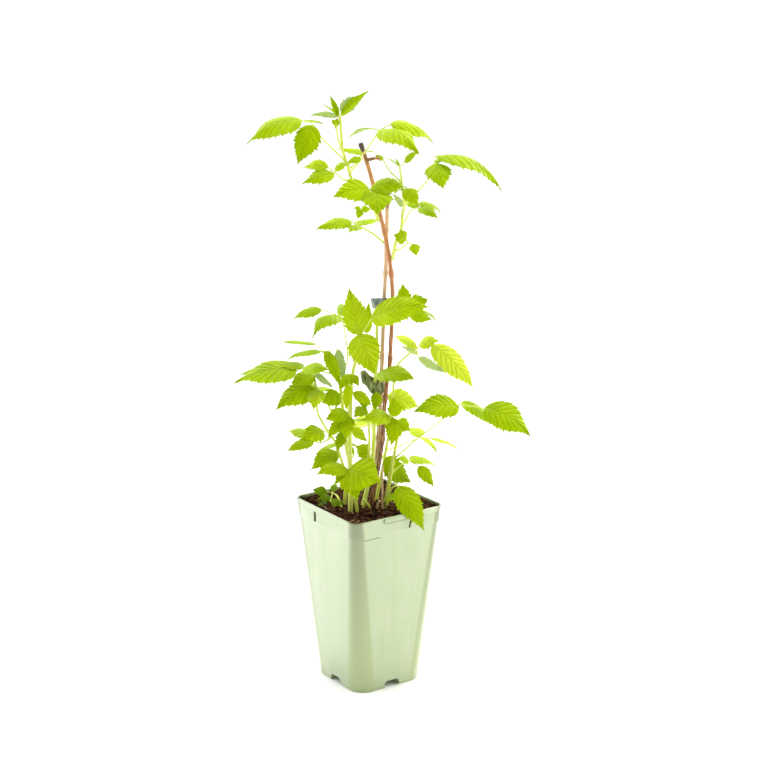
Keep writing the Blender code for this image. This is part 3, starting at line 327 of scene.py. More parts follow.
          ((-26, 6, 202), 11, 60, 0.1, 8, (-42, -4, 202))]),
    ]),
]
SHOOTS = []
for name, rooted, radii, route, rows in SHOOT_ROWS:
    leaves = [Leaf(petiole, [Blade(*blade) for blade in blades]) for petiole, blades in rows]
    SHOOTS.append(Shoot(name, route, radii, leaves, rooted))

# How light each shoot's leaves are, from deep green at 0 to pale yellow-green at 1
USUAL_TONE = 0.45
SHOOT_TONES = {
    "shoot_back": 0.85,
    "shoot_top_left": 0.5,
    "shoot_top_right": 0.42,
    "shoot_far_left": 0.6,
    "leaf_near_soil": 0.05,
    "shoot_low": 0.5,
    "shoot_front": 0.55,
}


def linear(code):
    """An sRGB hex colour as the linear values that a shader socket takes."""
    parts = [int(code[i:i + 2], 16) / 255.0 for i in (1, 3, 5)]
    return (*(part / 12.92 if part <= 0.04045 else ((part + 0.055) / 1.055) ** 2.4 for part in parts), 1.0)


def per(size):
    """The scale of a pattern whose features are this many millimetres."""
    return 1.0 / (size * MM)


def link(tree, source, socket):
    """Links an output, or a whole node's first output, to an input."""
    tree.links.new(source.outputs[0] if isinstance(source, bpy.types.Node) else source, socket)


def add(tree, kind, links=None, values=None, stops=None, **settings):
    """Adds one node with its settings, socket values, colour stops and links."""
    node = tree.nodes.new("ShaderNode" + kind)
    for name, value in settings.items():
        setattr(node, name, value)
    for socket, value in (values or {}).items():
        node.inputs[socket].default_value = value
    for socket, source in (links or {}).items():
        link(tree, source, node.inputs[socket])
    if stops:
        ramp = node.color_ramp
        ramp.elements.remove(ramp.elements[1])
        ramp.elements[0].position = stops[0][0]
        ramp.elements[0].color = linear(stops[0][1])
        for place_on_ramp, code in stops[1:]:
            ramp.elements.new(place_on_ramp).color = linear(code)
    return node


def surface(name, **finish):
    """A new material with its tree, its Principled shader set to a finish, and Object coordinates."""
    material = bpy.data.materials.new(name)
    material.use_nodes = True
    tree = material.node_tree
    shader = tree.nodes["Principled BSDF"]
    for socket, value in finish.items():
        shader.inputs[socket.replace("_", " ")].default_value = value
    return material, tree, shader, add(tree, "TexCoord").outputs["Object"]


def cover(tree, shader, colour, height, strength, depth, **settings):
    """Gives a shader its colour, and a bump that is read from a height and is some millimetres deep."""
    link(tree, colour, shader.inputs["Base Color"])
    grain = add(tree, "Bump", {"Height": height}, {"Strength": strength, "Distance": depth * MM}, **settings)
    link(tree, grain, shader.inputs["Normal"])


def mean(tree, one, two):
    """Half the sum of two patterns."""
    both = add(tree, "Math", {0: one, 1: two}, operation="ADD")
    return add(tree, "Math", {0: both}, {1: 0.5}, operation="MULTIPLY")


def vein_lines(tree, width):
    """One on the rib and the side veins of a blade, nought between them, read from the blade's own map."""
    spread = add(tree, "SeparateXYZ", {0: add(tree, "UVMap", uv_map=VEIN_MAP)})
    wave = add(tree, "Math", {0: spread}, {1: 0.5}, operation="PINGPONG")
    side = add(tree, "MapRange", {0: wave}, {1: 0.0, 2: width, 3: 1.0, 4: 0.0},
               interpolation_type="SMOOTHSTEP")
    rib = add(tree, "MapRange", {0: spread.outputs[1]}, {1: 0.02, 2: 0.075, 3: 1.0, 4: 0.0},
              interpolation_type="SMOOTHSTEP")
    return add(tree, "Math", {0: side, 1: rib}, operation="MAXIMUM")


def thin_blade(tree, shader, colour, share):
    """Lets a share of the light behind a thin blade come through in a colour."""
    through = add(tree, "BsdfTranslucent", {0: colour})
    mixed = add(tree, "MixShader", {1: shader, 2: through}, {0: share})
    link(tree, mixed, tree.nodes["Material Output"].inputs[0])


def leaf_upper_side():
    """Living raspberry leaf: a satin cuticle on a quilted blade, so each swelling between two veins
    catches the light, the sunk veins carry painted shade in a darker green, and light from behind turns it
    yellow-green."""
    material, tree, shader, where = surface("raspberry_leaf_upper_side", Roughness=0.45,
                                            Specular_IOR_Level=0.38, Specular_Tint=linear("#DCF050"))
    vein = vein_lines(tree, 0.13)
    net = add(tree, "TexVoronoi", {"Vector": where}, {"Scale": per(2.6)}, feature="DISTANCE_TO_EDGE")
    net_line = add(tree, "MapRange", {0: net}, {1: 0.0, 2: 0.12, 3: 1.0, 4: 0.0})
    cloud = add(tree, "TexNoise", {"Vector": where}, {"Scale": per(19.0), "Detail": 3.0})
    tone = add(tree, "Attribute", attribute_name="tone")
    mottled = add(tree, "Math", {0: cloud, 2: tone.outputs["Fac"]}, {1: 0.55}, operation="MULTIPLY_ADD")
    level = add(tree, "Math", {0: mottled}, {1: 0.275}, operation="SUBTRACT")
    flesh = add(tree, "ValToRGB", {0: level},
                stops=((0.0, "#6A8C00"), (0.3, "#96B200"), (0.6, "#BAD000"), (1.0, "#DEE83C")))
    pale = add(tree, "ValToRGB", {0: level}, stops=((0.0, "#86A600"), (0.5, "#C0D418"), (1.0, "#E2EA70")))
    netted_share = add(tree, "Math", {0: net_line}, {1: 0.16}, operation="MULTIPLY")
    netted = add(tree, "Mix", {0: netted_share, 6: flesh, 7: pale}, data_type="RGBA")
    # Painted shade: the blade turns a darker green along the rib and side veins, as if shaded in their sunk
    # valleys.
    painted_vein_shade = add(tree, "Math", {0: vein}, {1: 0.26}, operation="MULTIPLY")
    skin = add(tree, "Mix", {0: painted_vein_shade, 6: netted.outputs[2]}, {7: linear("#7E9A00")}, data_type="RGBA")
    lines = add(tree, "Math", {0: net_line, 2: vein}, {1: 0.45}, operation="MULTIPLY_ADD")
    cover(tree, shader, skin.outputs[2], lines, 0.5, 0.4, invert=True)
    glow = add(tree, "Mix", {6: skin.outputs[2]}, {0: 0.55, 7: linear("#D2F000")}, data_type="RGBA")
    thin_blade(tree, shader, glow.outputs[2], 0.34)
    return material


def leaf_underside():
    """The same leaf from below: a close pale felt that hides the gloss, with the rib and veins raised."""
    material, tree, shader, where = surface("raspberry_leaf_felted_underside", Roughness=0.9,
                                            Sheen_Weight=0.25)
    vein = vein_lines(tree, 0.17)
    felt = add(tree, "TexNoise", {"Vector": where}, {"Scale": per(0.9), "Detail": 4.0})
    cloud = add(tree, "TexNoise", {"Vector": where}, {"Scale": per(16.0), "Detail": 2.0})
    half = mean(tree, felt, cloud)
    down = add(tree, "ValToRGB", {0: half}, stops=((0.3, "#AABE88"), (0.52, "#C2D49E"), (0.72, "#D8E4B2")))
    skin = add(tree, "Mix", {0: vein, 6: down}, {7: linear("#C3CF8C")}, data_type="RGBA")
    raised = add(tree, "Math", {0: felt, 2: vein}, {1: 0.4}, operation="MULTIPLY_ADD")
    cover(tree, shader, skin.outputs[2], raised, 0.5, 0.4)
    thin_blade(tree, shader, skin.outputs[2], 0.4)
    return material


def green_stem_skin():
    """Young raspberry stem: a fresh waxy skin, ribbed along its length, yellow-green and a little uneven."""
    material, tree, shader, where = surface("green_raspberry_stem", Roughness=0.42)
    long = add(tree, "Mapping", {0: where}, {"Scale": (1.0, 1.0, 0.08)})
    rib = add(tree, "TexNoise", {"Vector": long}, {"Scale": per(0.9), "Detail": 2.0})
    cloud = add(tree, "TexNoise", {"Vector": where}, {"Scale": per(14.0), "Detail": 2.0})
    half = mean(tree, rib, cloud)
    skin = add(tree, "ValToRGB", {0: half}, stops=((0.3, "#BCCC3C"), (0.48, "#D2DE50"), (0.7, "#E6EC90")))
    cover(tree, shader, skin, rib, 0.3, 0.3)
    return material


def cane_bark(name, low, high, stops, pale_fibre_highlight):
    """Year-old raspberry cane: thin papery bark that splits along the cane into long fibres, drawn as pale
    streaks that are partly painted highlight, with small raised pores, a colour that changes from the peat
    up, a dark scarred joint and a dried black tip."""
    material, tree, shader, where = surface(name, Roughness=0.42)
    height = add(tree, "SeparateXYZ", {0: where})
    rise = add(tree, "MapRange", {0: height.outputs[2]}, {1: low * MM, 2: high * MM, 3: 0.0, 4: 1.0})
    long = add(tree, "Mapping", {0: where}, {"Scale": (1.0, 1.0, 0.07)})
    fibre = add(tree, "TexNoise", {"Vector": long}, {"Scale": per(0.8), "Detail": 5.0})
    cloud = add(tree, "TexNoise", {"Vector": where}, {"Scale": per(11.0), "Detail": 3.0})
    shift = add(tree, "Math", {0: cloud, 2: rise}, {1: 0.3}, operation="MULTIPLY_ADD")
    level = add(tree, "Math", {0: shift}, {1: 0.15}, operation="SUBTRACT")
    base = add(tree, "ValToRGB", {0: level}, stops=stops)
    # The pale streaks follow the raised fibres and are partly real bark fibre, partly painted highlight.
    fibres = add(tree, "MapRange", {0: fibre}, {1: 0.46, 2: 0.66, 3: 0.0, 4: 0.75})
    barked = add(tree, "Mix", {0: fibres, 6: base}, {7: linear(pale_fibre_highlight)}, data_type="RGBA")
    pores = add(tree, "TexVoronoi", {"Vector": where}, {"Scale": per(2.4)})
    spots = add(tree, "MapRange", {0: pores}, {1: 0.12, 2: 0.2, 3: 0.55, 4: 0.0})
    bark = add(tree, "Mix", {0: spots, 6: barked.outputs[2]}, {7: linear("#5A4034")}, data_type="RGBA")
    below = add(tree, "Math", {0: height.outputs[2]}, {1: (high - 16.0) * MM}, operation="SUBTRACT")
    away = add(tree, "Math", {0: below}, operation="ABSOLUTE")
    scar = add(tree, "MapRange", {0: away}, {1: 2.0 * MM, 2: 7.0 * MM, 3: 0.75, 4: 0.0})
    patch = add(tree, "MapRange", {0: cloud}, {1: 0.42, 2: 0.56, 3: 0.15, 4: 1.0})
    scarred = add(tree, "Math", {0: scar, 1: patch}, operation="MULTIPLY")
    knot = add(tree, "Mix", {0: scarred, 6: bark.outputs[2]}, {7: linear("#6A4410")}, data_type="RGBA")
    dried = add(tree, "MapRange", {0: height.outputs[2]},
                {1: (high - 10.0) * MM, 2: (high - 7.5) * MM, 3: 0.0, 4: 0.92})
    skin = add(tree, "Mix", {0: dried, 6: knot.outputs[2]}, {7: linear("#38302A")}, data_type="RGBA")
    relief = add(tree, "Math", {0: spots, 1: fibre}, operation="ADD")
    cover(tree, shader, skin.outputs[2], relief, 0.6, 0.5)
    return material


def cut_wood():
    """A cane's old cut end: weathered end grain, mottled from nearly black where it has dried to pale brown.
    """
    material, tree, shader, where = surface("weathered_cut_wood", Roughness=0.85)
    rings = add(tree, "TexNoise", {"Vector": where}, {"Scale": per(0.8), "Detail": 4.0})
    skin = add(tree, "ValToRGB", {0: rings}, stops=((0.35, "#2E2420"), (0.55, "#54443A"), (0.75, "#8C7A64")))
    cover(tree, shader, skin, rings, 0.6, 0.4)
    return material


def dry_straw():
    """Dead stem and straw: bleached hollow stalk with a faint gloss and long fibres."""
    material, tree, shader, where = surface("dry_straw", Roughness=0.55)
    long = add(tree, "Mapping", {0: where}, {"Scale": (1.0, 1.0, 0.12)})
    fibre = add(tree, "TexNoise", {"Vector": long}, {"Scale": per(0.7), "Detail": 4.0})
    skin = add(tree, "ValToRGB", {0: fibre}, stops=((0.3, "#A07A50"), (0.5, "#D0AE7C"), (0.7, "#EAD6B0")))
    cover(tree, shader, skin, fibre, 0.4, 0.3)
    return material


def soft_tie(name, stops):
    """Soft foamed-rubber plant tie: a matt skin with a fine closed-cell grain and pressed-in creases,
    with painted shade in the creases and painted highlight on the folds between them."""
    material, tree, shader, where = surface(name, Roughness=0.78, Sheen_Weight=0.15)
    crease = add(tree, "Mapping", {0: where}, {"Scale": (1.0, 1.0, 0.35)})
    folds_and_painted_light = add(tree, "TexNoise", {"Vector": crease}, {"Scale": per(2.6), "Detail": 4.0})
    cells = add(tree, "TexVoronoi", {"Vector": where}, {"Scale": per(0.7)})
    # Painted shade and highlight: the colour is darkest in the creases and palest on the folds.
    skin = add(tree, "ValToRGB", {0: folds_and_painted_light}, stops=stops)
    both = add(tree, "Math", {0: cells, 2: folds_and_painted_light}, {1: 0.25}, operation="MULTIPLY_ADD")
    cover(tree, shader, skin, both, 0.7, 0.6)
    return material


def pot_plastic():
    """Moulded polypropylene, thin and slightly milky: an even satin gloss with a fine orange-peel skin,
    faint upright flow marks from the mould, small specks of dried peat, and painted shade on the round
    corners: a darker olive band, wider at the foot and darker toward the rim."""
    material, tree, shader, where = surface("moulded_polypropylene", IOR=1.49, Specular_IOR_Level=0.9,
                                            Coat_Weight=1.0, Coat_Roughness=0.2, Coat_IOR=1.6)
    long = add(tree, "Mapping", {0: where}, {"Scale": (1.0, 1.0, 0.06)})
    flow = add(tree, "TexNoise", {"Vector": long}, {"Scale": per(9.0), "Detail": 3.0})
    cloud = add(tree, "TexNoise", {"Vector": where}, {"Scale": per(42.0), "Detail": 3.0})
    half = mean(tree, flow, cloud)
    base = add(tree, "ValToRGB", {0: half}, stops=((0.3, "#99A97A"), (0.5, "#9EAE7F"), (0.7, "#A5B387")))
    specks = add(tree, "TexVoronoi", {"Vector": where}, {"Scale": per(7.0)})
    dots = add(tree, "MapRange", {0: specks}, {1: 0.035, 2: 0.06, 3: 0.35, 4: 0.0})
    spotted = add(tree, "Mix", {0: dots, 6: base}, {7: linear("#8E8A62")}, data_type="RGBA")
    # Painted shade: a darker olive band down each round corner, wider at the foot and darker toward the rim,
    # where the corner faces less light than the sides.
    sides = add(tree, "SeparateXYZ", {0: add(tree, "VectorMath", {0: where}, operation="ABSOLUTE")})
    nearer = add(tree, "Math", {0: sides, 1: sides.outputs[1]}, operation="MINIMUM")
    wall = add(tree, "MapRange", {0: sides.outputs[2]},
               {1: 0.0, 2: POT_HEIGHT * MM, 3: FOOT_HALF * MM, 4: RIM_HALF * MM})
    band = add(tree, "MapRange", {0: sides.outputs[2]},
               {1: 0.0, 2: POT_HEIGHT * MM, 3: 24.0 * MM, 4: 14.0 * MM})
    from_corner = add(tree, "Math", {0: wall, 1: nearer}, operation="SUBTRACT")
    inner = add(tree, "Math", {0: band}, {1: 5.0 * MM}, operation="SUBTRACT")
    corner = add(tree, "MapRange", {0: from_corner, 1: inner, 2: band},
                 {3: 1.0, 4: 0.0}, interpolation_type="SMOOTHSTEP")
    up = add(tree, "MapRange", {0: sides.outputs[2]}, {1: 0.0, 2: POT_HEIGHT * MM, 3: 0.0, 4: 1.0})
    olive = add(tree, "ValToRGB", {0: up},
                stops=((0.0, "#97A768"), (0.5, "#87975A"), (0.89, "#76864E"), (0.93, "#67763F")))
    skin = add(tree, "Mix", {0: corner, 6: spotted.outputs[2], 7: olive}, data_type="RGBA")
    gloss = add(tree, "MapRange", {0: cloud}, {1: 0.3, 2: 0.7, 3: 0.3, 4: 0.44})
    link(tree, gloss, shader.inputs["Roughness"])
    peel = add(tree, "TexNoise", {"Vector": where}, {"Scale": per(1.6), "Detail": 2.0})
    cover(tree, shader, skin.outputs[2], peel, 0.08, 0.3)
    return material


def damp_peat(name, stops, size):
    """Damp peat: matt, almost black in the hollows of its coarse crumb as painted shade, with brown fibre."""
    material, tree, shader, where = surface(name, Roughness=0.92, Specular_IOR_Level=0.15)
    crumb = add(tree, "TexNoise", {"Vector": where}, {"Scale": per(size), "Detail": 6.0, "Roughness": 0.65})
    # Painted shade: the ramp is nearly black where the crumb is low, in its hollows.
    skin = add(tree, "ValToRGB", {0: crumb}, stops=stops)
    cover(tree, shader, skin, crumb, 0.9, 1.0)
    return material


def backdrop_paper():
    """Matt white studio paper with a hardly visible tooth."""
    material, tree, shader, where = surface("studio_paper", Roughness=0.95)
    tooth = add(tree, "TexNoise", {"Vector": where}, {"Scale": per(6.0), "Detail": 3.0})
    skin = add(tree, "ValToRGB", {0: tooth}, stops=((0.2, "#F8F8F6"), (0.8, "#FBFBFA")))
    link(tree, skin, shader.inputs["Base Color"])
    return material


def place(point):
    """Turns (across, toward, up) in millimetres into the pot's own axes in metres."""
    across, toward, up = point
    return (ACROSS * across + TOWARD * toward + UP * up) * MM


def activate(*pieces):
    """Selects these pieces alone, the last of them active."""
    bpy.ops.object.select_all(action="DESELECT")
    for piece in pieces:
        piece.select_set(True)
    bpy.context.view_layer.objects.active = pieces[-1]


def apply(piece, kind, **settings):
    """Adds a modifier with its settings and applies it."""
    activate(piece)
    modifier = piece.modifiers.new(kind.lower(), kind)
    for name, value in settings.items():
        setattr(modifier, name, value)
    bpy.ops.object.modifier_apply(modifier=modifier.name)


def combine(piece, other, operation):
    """Joins another body to a piece, or cuts it out, and removes it."""
    apply(piece, "BOOLEAN", object=other, operation=operation, solver="EXACT")
    bpy.data.objects.remove(other)


def link_mesh(work, name):
    """Makes an object of a finished mesh."""
    mesh = bpy.data.meshes.new(name)
    work.to_mesh(mesh)
    work.free()
    piece = bpy.data.objects.new(name, mesh)
    bpy.context.scene.collection.objects.link(piece)
    return piece


def wear(piece, *materials):
    """Gives a piece its material slots."""
    piece.data.materials.clear()
    for material in materials:
        piece.data.materials.append(material)


def fit(piece, name, slot, *nodes, smooth=40):
    """Shades a finished piece, names it, and sets it on the frame in place of its nodes."""
    activate(piece)
    bpy.ops.object.shade_smooth_by_angle(angle=math.radians(smooth))
    piece.name = name
    piece.data.name = name
    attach(piece, "root")
    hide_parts(*nodes)


def smooth_route(points, step):
    """Reads a smooth curve through given points, about one reading for each step of length."""
    knots = [Vector(point) for point in points]
    knots = [2 * knots[0] - knots[1]] + knots + [2 * knots[-1] - knots[-2]]
    route = []
    for a, b, c, d in zip(knots, knots[1:], knots[2:], knots[3:]):
        count = max(1, round((c - b).length / step))
        for i in range(count):
            t = i / count
            route.append(0.5 * (2 * b + (c - a) * t + (2 * a - 5 * b + 4 * c - d) * t ** 2
                                + (3 * b - a - 3 * c + d) * t ** 3))
    return route + [knots[-2]]


def taper(count, first, last):
    """Radii from the first to the last along a bar."""
    return [first + (last - first) * i / (count - 1) for i in range(count)]


def close_up(gap=None):
    """Ends edit mode: points that lie within a gap become one, and the faces turn outwards."""
    bpy.ops.mesh.select_all(action="SELECT")
    if gap:
        bpy.ops.mesh.remove_doubles(threshold=gap * MM)
    bpy.ops.mesh.normals_make_consistent(inside=False)
    bpy.ops.object.mode_set(mode="OBJECT")


def bars(name, runs, roundness):
    """Round bars along routes: one curve with a bevel and filled ends, made a mesh."""
    curve = bpy.data.curves.new(name, "CURVE")
    curve.dimensions = "3D"
    curve.bevel_depth = MM
    curve.bevel_resolution = roundness
    curve.use_fill_caps = True
    for route, radii in runs:
        spline = curve.splines.new("POLY")
        spline.points.add(len(route) - 1)
        for point, where, radius in zip(spline.points, route, radii):
            point.co = (*place(where), 1.0)
            point.radius = radius
    piece = bpy.data.objects.new(name, curve)
    bpy.context.scene.collection.objects.link(piece)
    activate(piece)
    bpy.ops.object.convert(target="MESH")
    bpy.ops.object.mode_set(mode="EDIT")
    close_up(0.01)
    return bpy.context.object


def half_width(u):
    """The blade's outline: rounded at its base, widest before the middle, drawn out to its tip."""
    if u <= 0.0 or u >= 1.0:
        return 0.0
    return math.sin(math.pi * u ** 0.66) ** (0.6 + 0.7 * u)


def tooth_notch(share):
    """How far the edge draws in between one vein's tooth, at 0, and the next, with a small tooth between."""
    place_in_row = (share % 1.0) * len(TOOTH_EDGE)
    i = int(place_in_row) % len(TOOTH_EDGE)
    after = TOOTH_EDGE[(i + 1) % len(TOOTH_EDGE)]
    return TOOTH_EDGE[i] + (after - TOOTH_EDGE[i]) * (place_in_row - int(place_in_row))


class Sheet:
    """One leaflet's form: its rib, its two hanging halves, its teeth and the swellings between its veins."""

    def __init__(self, blade, start, draw):
        self.blade, self.start = blade, start
        chord = Vector(blade.tip) - start
        self.length = chord.length
        self.along = chord.normalized()
        turn = math.radians(blade.face)
        normal = Vector((0.0, math.sin(turn), math.cos(turn)))
        self.normal = (normal - self.along * normal.dot(self.along)).normalized()
        self.sideways = self.normal.cross(self.along)
        self.veins = max(FEWEST_VEINS, min(MOST_VEINS, round(self.length / VEIN_SPACING)))
        self.twist = math.radians(draw.uniform(-TWIST, TWIST))
        self.bow = blade.bend + draw.uniform(-BOW, BOW)
        self.phases = (draw.uniform(0.0, math.tau), draw.uniform(0.0, math.tau))

    def rib(self, u):
        """A point on the rib, with the directions up and sideways there."""
        hump = 4.0 * u * (1.0 - u) * self.length
        slope = math.atan(4.0 * self.blade.arch * (1.0 - 2.0 * u))
        up = self.normal * math.cos(slope) - self.along * math.sin(slope)
        turn = self.twist * (u - 0.5)
        across = self.sideways * math.cos(turn) + up * math.sin(turn)
        middle = self.start + self.along * (u * self.length) + self.normal * (self.blade.arch * hump)
        middle += self.sideways * (self.bow * hump)
        return middle, up * math.cos(turn) - self.sideways * math.sin(turn), across

    def vein_ends(self, s):
        """Where the side vein at s leaves the rib and where it meets the edge, further toward the tip."""
        ratio = min(self.blade.width / self.length, 0.62)
        leaves = s ** 1.1
        return leaves, min(1.0, leaves + VEIN_LEAN * ratio * math.sin(math.pi * s ** 0.8) ** 0.8)

    def point(self, s, v, side):
        """A point on the side vein's line at s, a share v of the way from the rib to the edge."""
        leaves, meets = self.vein_ends(s)
        widest = 0.5 * self.blade.width * half_width(meets)
        depth = min(DEEPEST_TOOTH, TOOTH_DEPTH * self.blade.width)
        depth *= min(1.0, 2.0 * widest / self.blade.width) ** 0.6
        notch = tooth_notch(s * self.veins)
        u = leaves + (meets - leaves) * v ** 1.3
        if v == 1.0:
            out = widest - depth * notch
            u = min(1.0, u + 0.45 * (1.0 - notch) * depth / self.length)
        else:
            out = v * max(widest - depth, 0.7 * widest)
        middle, up, across = self.rib(u)
        fold = math.radians(self.blade.fold)
        swell = abs(math.sin(math.pi * self.veins * s)) ** 0.8 * math.sqrt(v) * (1.0 - 0.6 * v * v)
        wave = math.sin(math.tau * 1.6 * s + self.phases[side > 0]) * v * v
        rise = self.blade.width * (QUILT * swell + WAVE * wave * math.sin(math.pi * s))
        rise -= out * math.sin(fold) * v ** 0.45
        return middle + across * (side * out * math.cos(fold)) + up * rise


def add_sheet(work, sheet, tone):
    """Draws a leaflet as one open sheet, with its map of veins and its tone."""
    vein_map = work.loops.layers.uv[VEIN_MAP]
    tones = work.verts.layers.float["tone"]
    steps = ROWS if sheet.length > 22.0 else ROWS // 2
    rows = sheet.veins * steps
    rib = []
    for i in range(rows + 1):
        leaves, _ = sheet.vein_ends(i / rows)
        rib.append(work.verts.new(place(sheet.rib(leaves)[0])))
    made = list(rib)
    for side in (-1, 1):
        lines = []
        for i in range(rows + 1):
            line = [rib[i]]
            for v in COLUMNS:
                if i in (0, rows):
                    line.append(rib[i])
                else:
                    line.append(work.verts.new(place(sheet.point(i / rows, v, side))))
            lines.append(line)
            made += line
        for i in range(rows):
            for c in range(len(COLUMNS)):
                add_cell(work, lines, i, c, side, sheet.veins / rows, vein_map)
    for vertex in made:
        vertex[tones] = tone


def add_cell(work, lines, i, c, side, vein_step, vein_map):
    """One face of a sheet between two rows and two columns; at the ends it narrows to a triangle."""
    spots = (0.0,) + COLUMNS
    ring = [(i, c), (i, c + 1), (i + 1, c + 1), (i + 1, c)]
    if side < 0:
        ring.reverse()
    corners, maps = [], []
    for row, column in ring:
        vertex = lines[row][column]
        if vertex not in corners:
            corners.append(vertex)
            maps.append((row * vein_step, spots[column]))
    if len(corners) > 2:
        face = work.faces.new(corners)
        for loop, value in zip(face.loops, maps):
            loop[vein_map].uv = value


def nearest(route, point):
    """The place on a stem's middle line that lies closest to a point."""
    places = []
    for a, b in zip(route, route[1:]):
        share = (point - a).dot(b - a) / (b - a).length_squared
        places.append(a.lerp(b, min(1.0, max(0.0, share))))
    return min(places, key=lambda where: (where - point).length)


def leaf_stalks(leaf, stem, sheets):
    """The petiole, swollen where it leaves the stem, the leaflets' own stalks, and their raised ribs."""
    points = [Vector(point) for point in leaf.petiole]
    runs = []
    if len(points) > 1:
        points[0] = nearest(stem, points[0])
        route = smooth_route(points, 5.0)
        radii = taper(len(route), *PETIOLE_RADII)
        radii[0] = PETIOLE_FOOT[0]
        radii[1] = max(radii[1], PETIOLE_FOOT[1])
        runs.append((route, radii))
    for sheet in sheets:
        middle = sheet.rib(0.05)[0]
        stalk = [points[-1], sheet.start, middle] if sheet.blade.start else [points[-1], middle]
        if (stalk[0] - stalk[-1]).length > 0.5:
            runs.append((stalk, taper(len(stalk), *STALK_RADII)))
        size = min(1.0, sheet.length / 55.0)
        ribs = []
        for i in range(RIB_READINGS + 1):
            middle, up, _ = sheet.rib(0.93 * i / RIB_READINGS)
            ribs.append(middle - up * (0.5 * LEAF_THICKNESS))
        runs.append((ribs, taper(len(ribs), RIB_RADII[0] * (0.5 + 0.5 * size), RIB_RADII[1])))
    return runs


def bristles(route, radii, draw):
    """The short stiff hairs of a green stem, each a three-sided spike that leans a little down."""
    work = bmesh.new()
    for (a, b), radius in zip(zip(route, route[1:]), radii):
        along = (b - a).normalized()
        for _ in range(max(1, round((b - a).length / HAIR_SPACING))):
            side = along.orthogonal().normalized()
            side.rotate(Matrix.Rotation(draw.uniform(0.0, math.tau), 3, along))
            root = a.lerp(b, draw.random()) + side * radius * 0.9
            tip = root + side * draw.uniform(*HAIR_LENGTH) - along * 0.3
            ring = [root + along * 0.16, root + along.cross(side) * 0.14 - along * 0.08,
                    root - along.cross(side) * 0.14 - along * 0.08]
            corners = [work.verts.new(place(point)) for point in ring + [tip]]
            for face in ((0, 1, 2), (0, 3, 1), (1, 3, 2), (2, 3, 0)):
                work.faces.new([corners[j] for j in face])
    bmesh.ops.recalc_face_normals(work, faces=work.faces)
    return link_mesh(work, "bristles")


def leafy_shoot(shoot, finishes):
    """A green stem with its leaves. The leaves are drawn in mesh code, because each tooth and vein has
    its own place, and a Solidify modifier gives them their thickness and their felted underside."""
    draw = random.Random(shoot.name)
    upper, under, skin = finishes
    route = smooth_route(shoot.route, 7.0)
    if shoot.rooted:
        route = [route[0] - UP * ROOT_DEPTH] + route
    else:
        route = [route[0] + (route[0] - route[1]).normalized() * 2.0] + route
    radii = taper(len(route), *shoot.radii)
    work = bmesh.new()
    work.loops.layers.uv.new(VEIN_MAP)
    work.verts.layers.float.new("tone")
    runs = [(route, radii)]
    base = SHOOT_TONES.get(shoot.name, USUAL_TONE)
    for leaf in shoot.leaves:
        end = Vector(leaf.petiole[-1])
        sheets = [Sheet(blade, Vector(blade.start) if blade.start else end, draw) for blade in leaf.blades]
        leaf_tone = base + draw.uniform(-LEAF_TONE_SPREAD, LEAF_TONE_SPREAD)
        for sheet in sheets:
            add_sheet(work, sheet, leaf_tone + draw.uniform(-BLADE_TONE_SPREAD, BLADE_TONE_SPREAD))
        runs += leaf_stalks(leaf, route, sheets)
    leaves = link_mesh(work, "leaves")
    wear(leaves, upper, under)
    apply(leaves, "SOLIDIFY", thickness=LEAF_THICKNESS * MM, offset=0.0, material_offset=1)
    stems = bars("stems", runs, 2)
    wear(stems, skin)
    hairs = bristles(route, radii, draw)
    wear(hairs, skin)
    activate(stems, hairs, leaves)
    bpy.ops.object.join()
    fit(leaves, shoot.name + "_foliage", "young_leaf", shoot.name, smooth=62)


def knobbly_cane(name, points, radius, finish, end_finish, slot, node, stub=None):
    """A woody cane: it swells at each joint, its bark is ribbed, and its top is an old slanted cut."""
    route = smooth_route(points, 3.0)
    route = [route[0] - UP * (ROOT_DEPTH + 2.0)] + route
    radii = []
    for where in route:
        above = where.z - PEAT_TOP
        swell = max(0.0, math.cos(math.tau * where.z / JOINT_SPACING)) ** 8
        swell = 0.3 * swell if above > 11.0 else 0.0
        uneven = 0.09 * noise.noise(Vector((where.z / 7.0, radius, 0.0)))
        radii.append(radius * (1.0 - 0.0003 * above + swell + uneven))
    runs = [(route, radii)]
    if stub:
        branch = smooth_route(stub, 2.0)
        runs.append((branch, taper(len(branch), 1.9, 1.25)))
    piece = bars(name, runs, 5)
    wear(piece, finish, end_finish)
    roughen(piece, 0.16, 1.3)
    dress_cuts(piece)
    fit(piece, name, slot, node)


def dress_cuts(piece):
    """Gives the cut ends, the only faces with many corners, the second finish."""
    for face in piece.data.polygons:
        face.material_index = int(len(face.vertices) > 6)


def roughen(piece, depth, size):
    """Moves each point in or out a little by a noise that is drawn out along the height."""
    for vertex in piece.data.vertices:
        spot = vertex.co / MM / size
        push = noise.noise(Vector((spot.x, spot.y, spot.z * 0.15)))
        vertex.co += vertex.normal * (push * depth * MM)


def wall_half(height):
    """Half the pot's width at a height."""
    return FOOT_HALF + (COLLAR_HALF - FOOT_HALF) * height / COLLAR_LOW


def wall_corner(height):
    """The radius of the pot's corners at a height."""
    return FOOT_CORNER + (RIM_CORNER - BEAD_STEP - FOOT_CORNER) * height / POT_HEIGHT


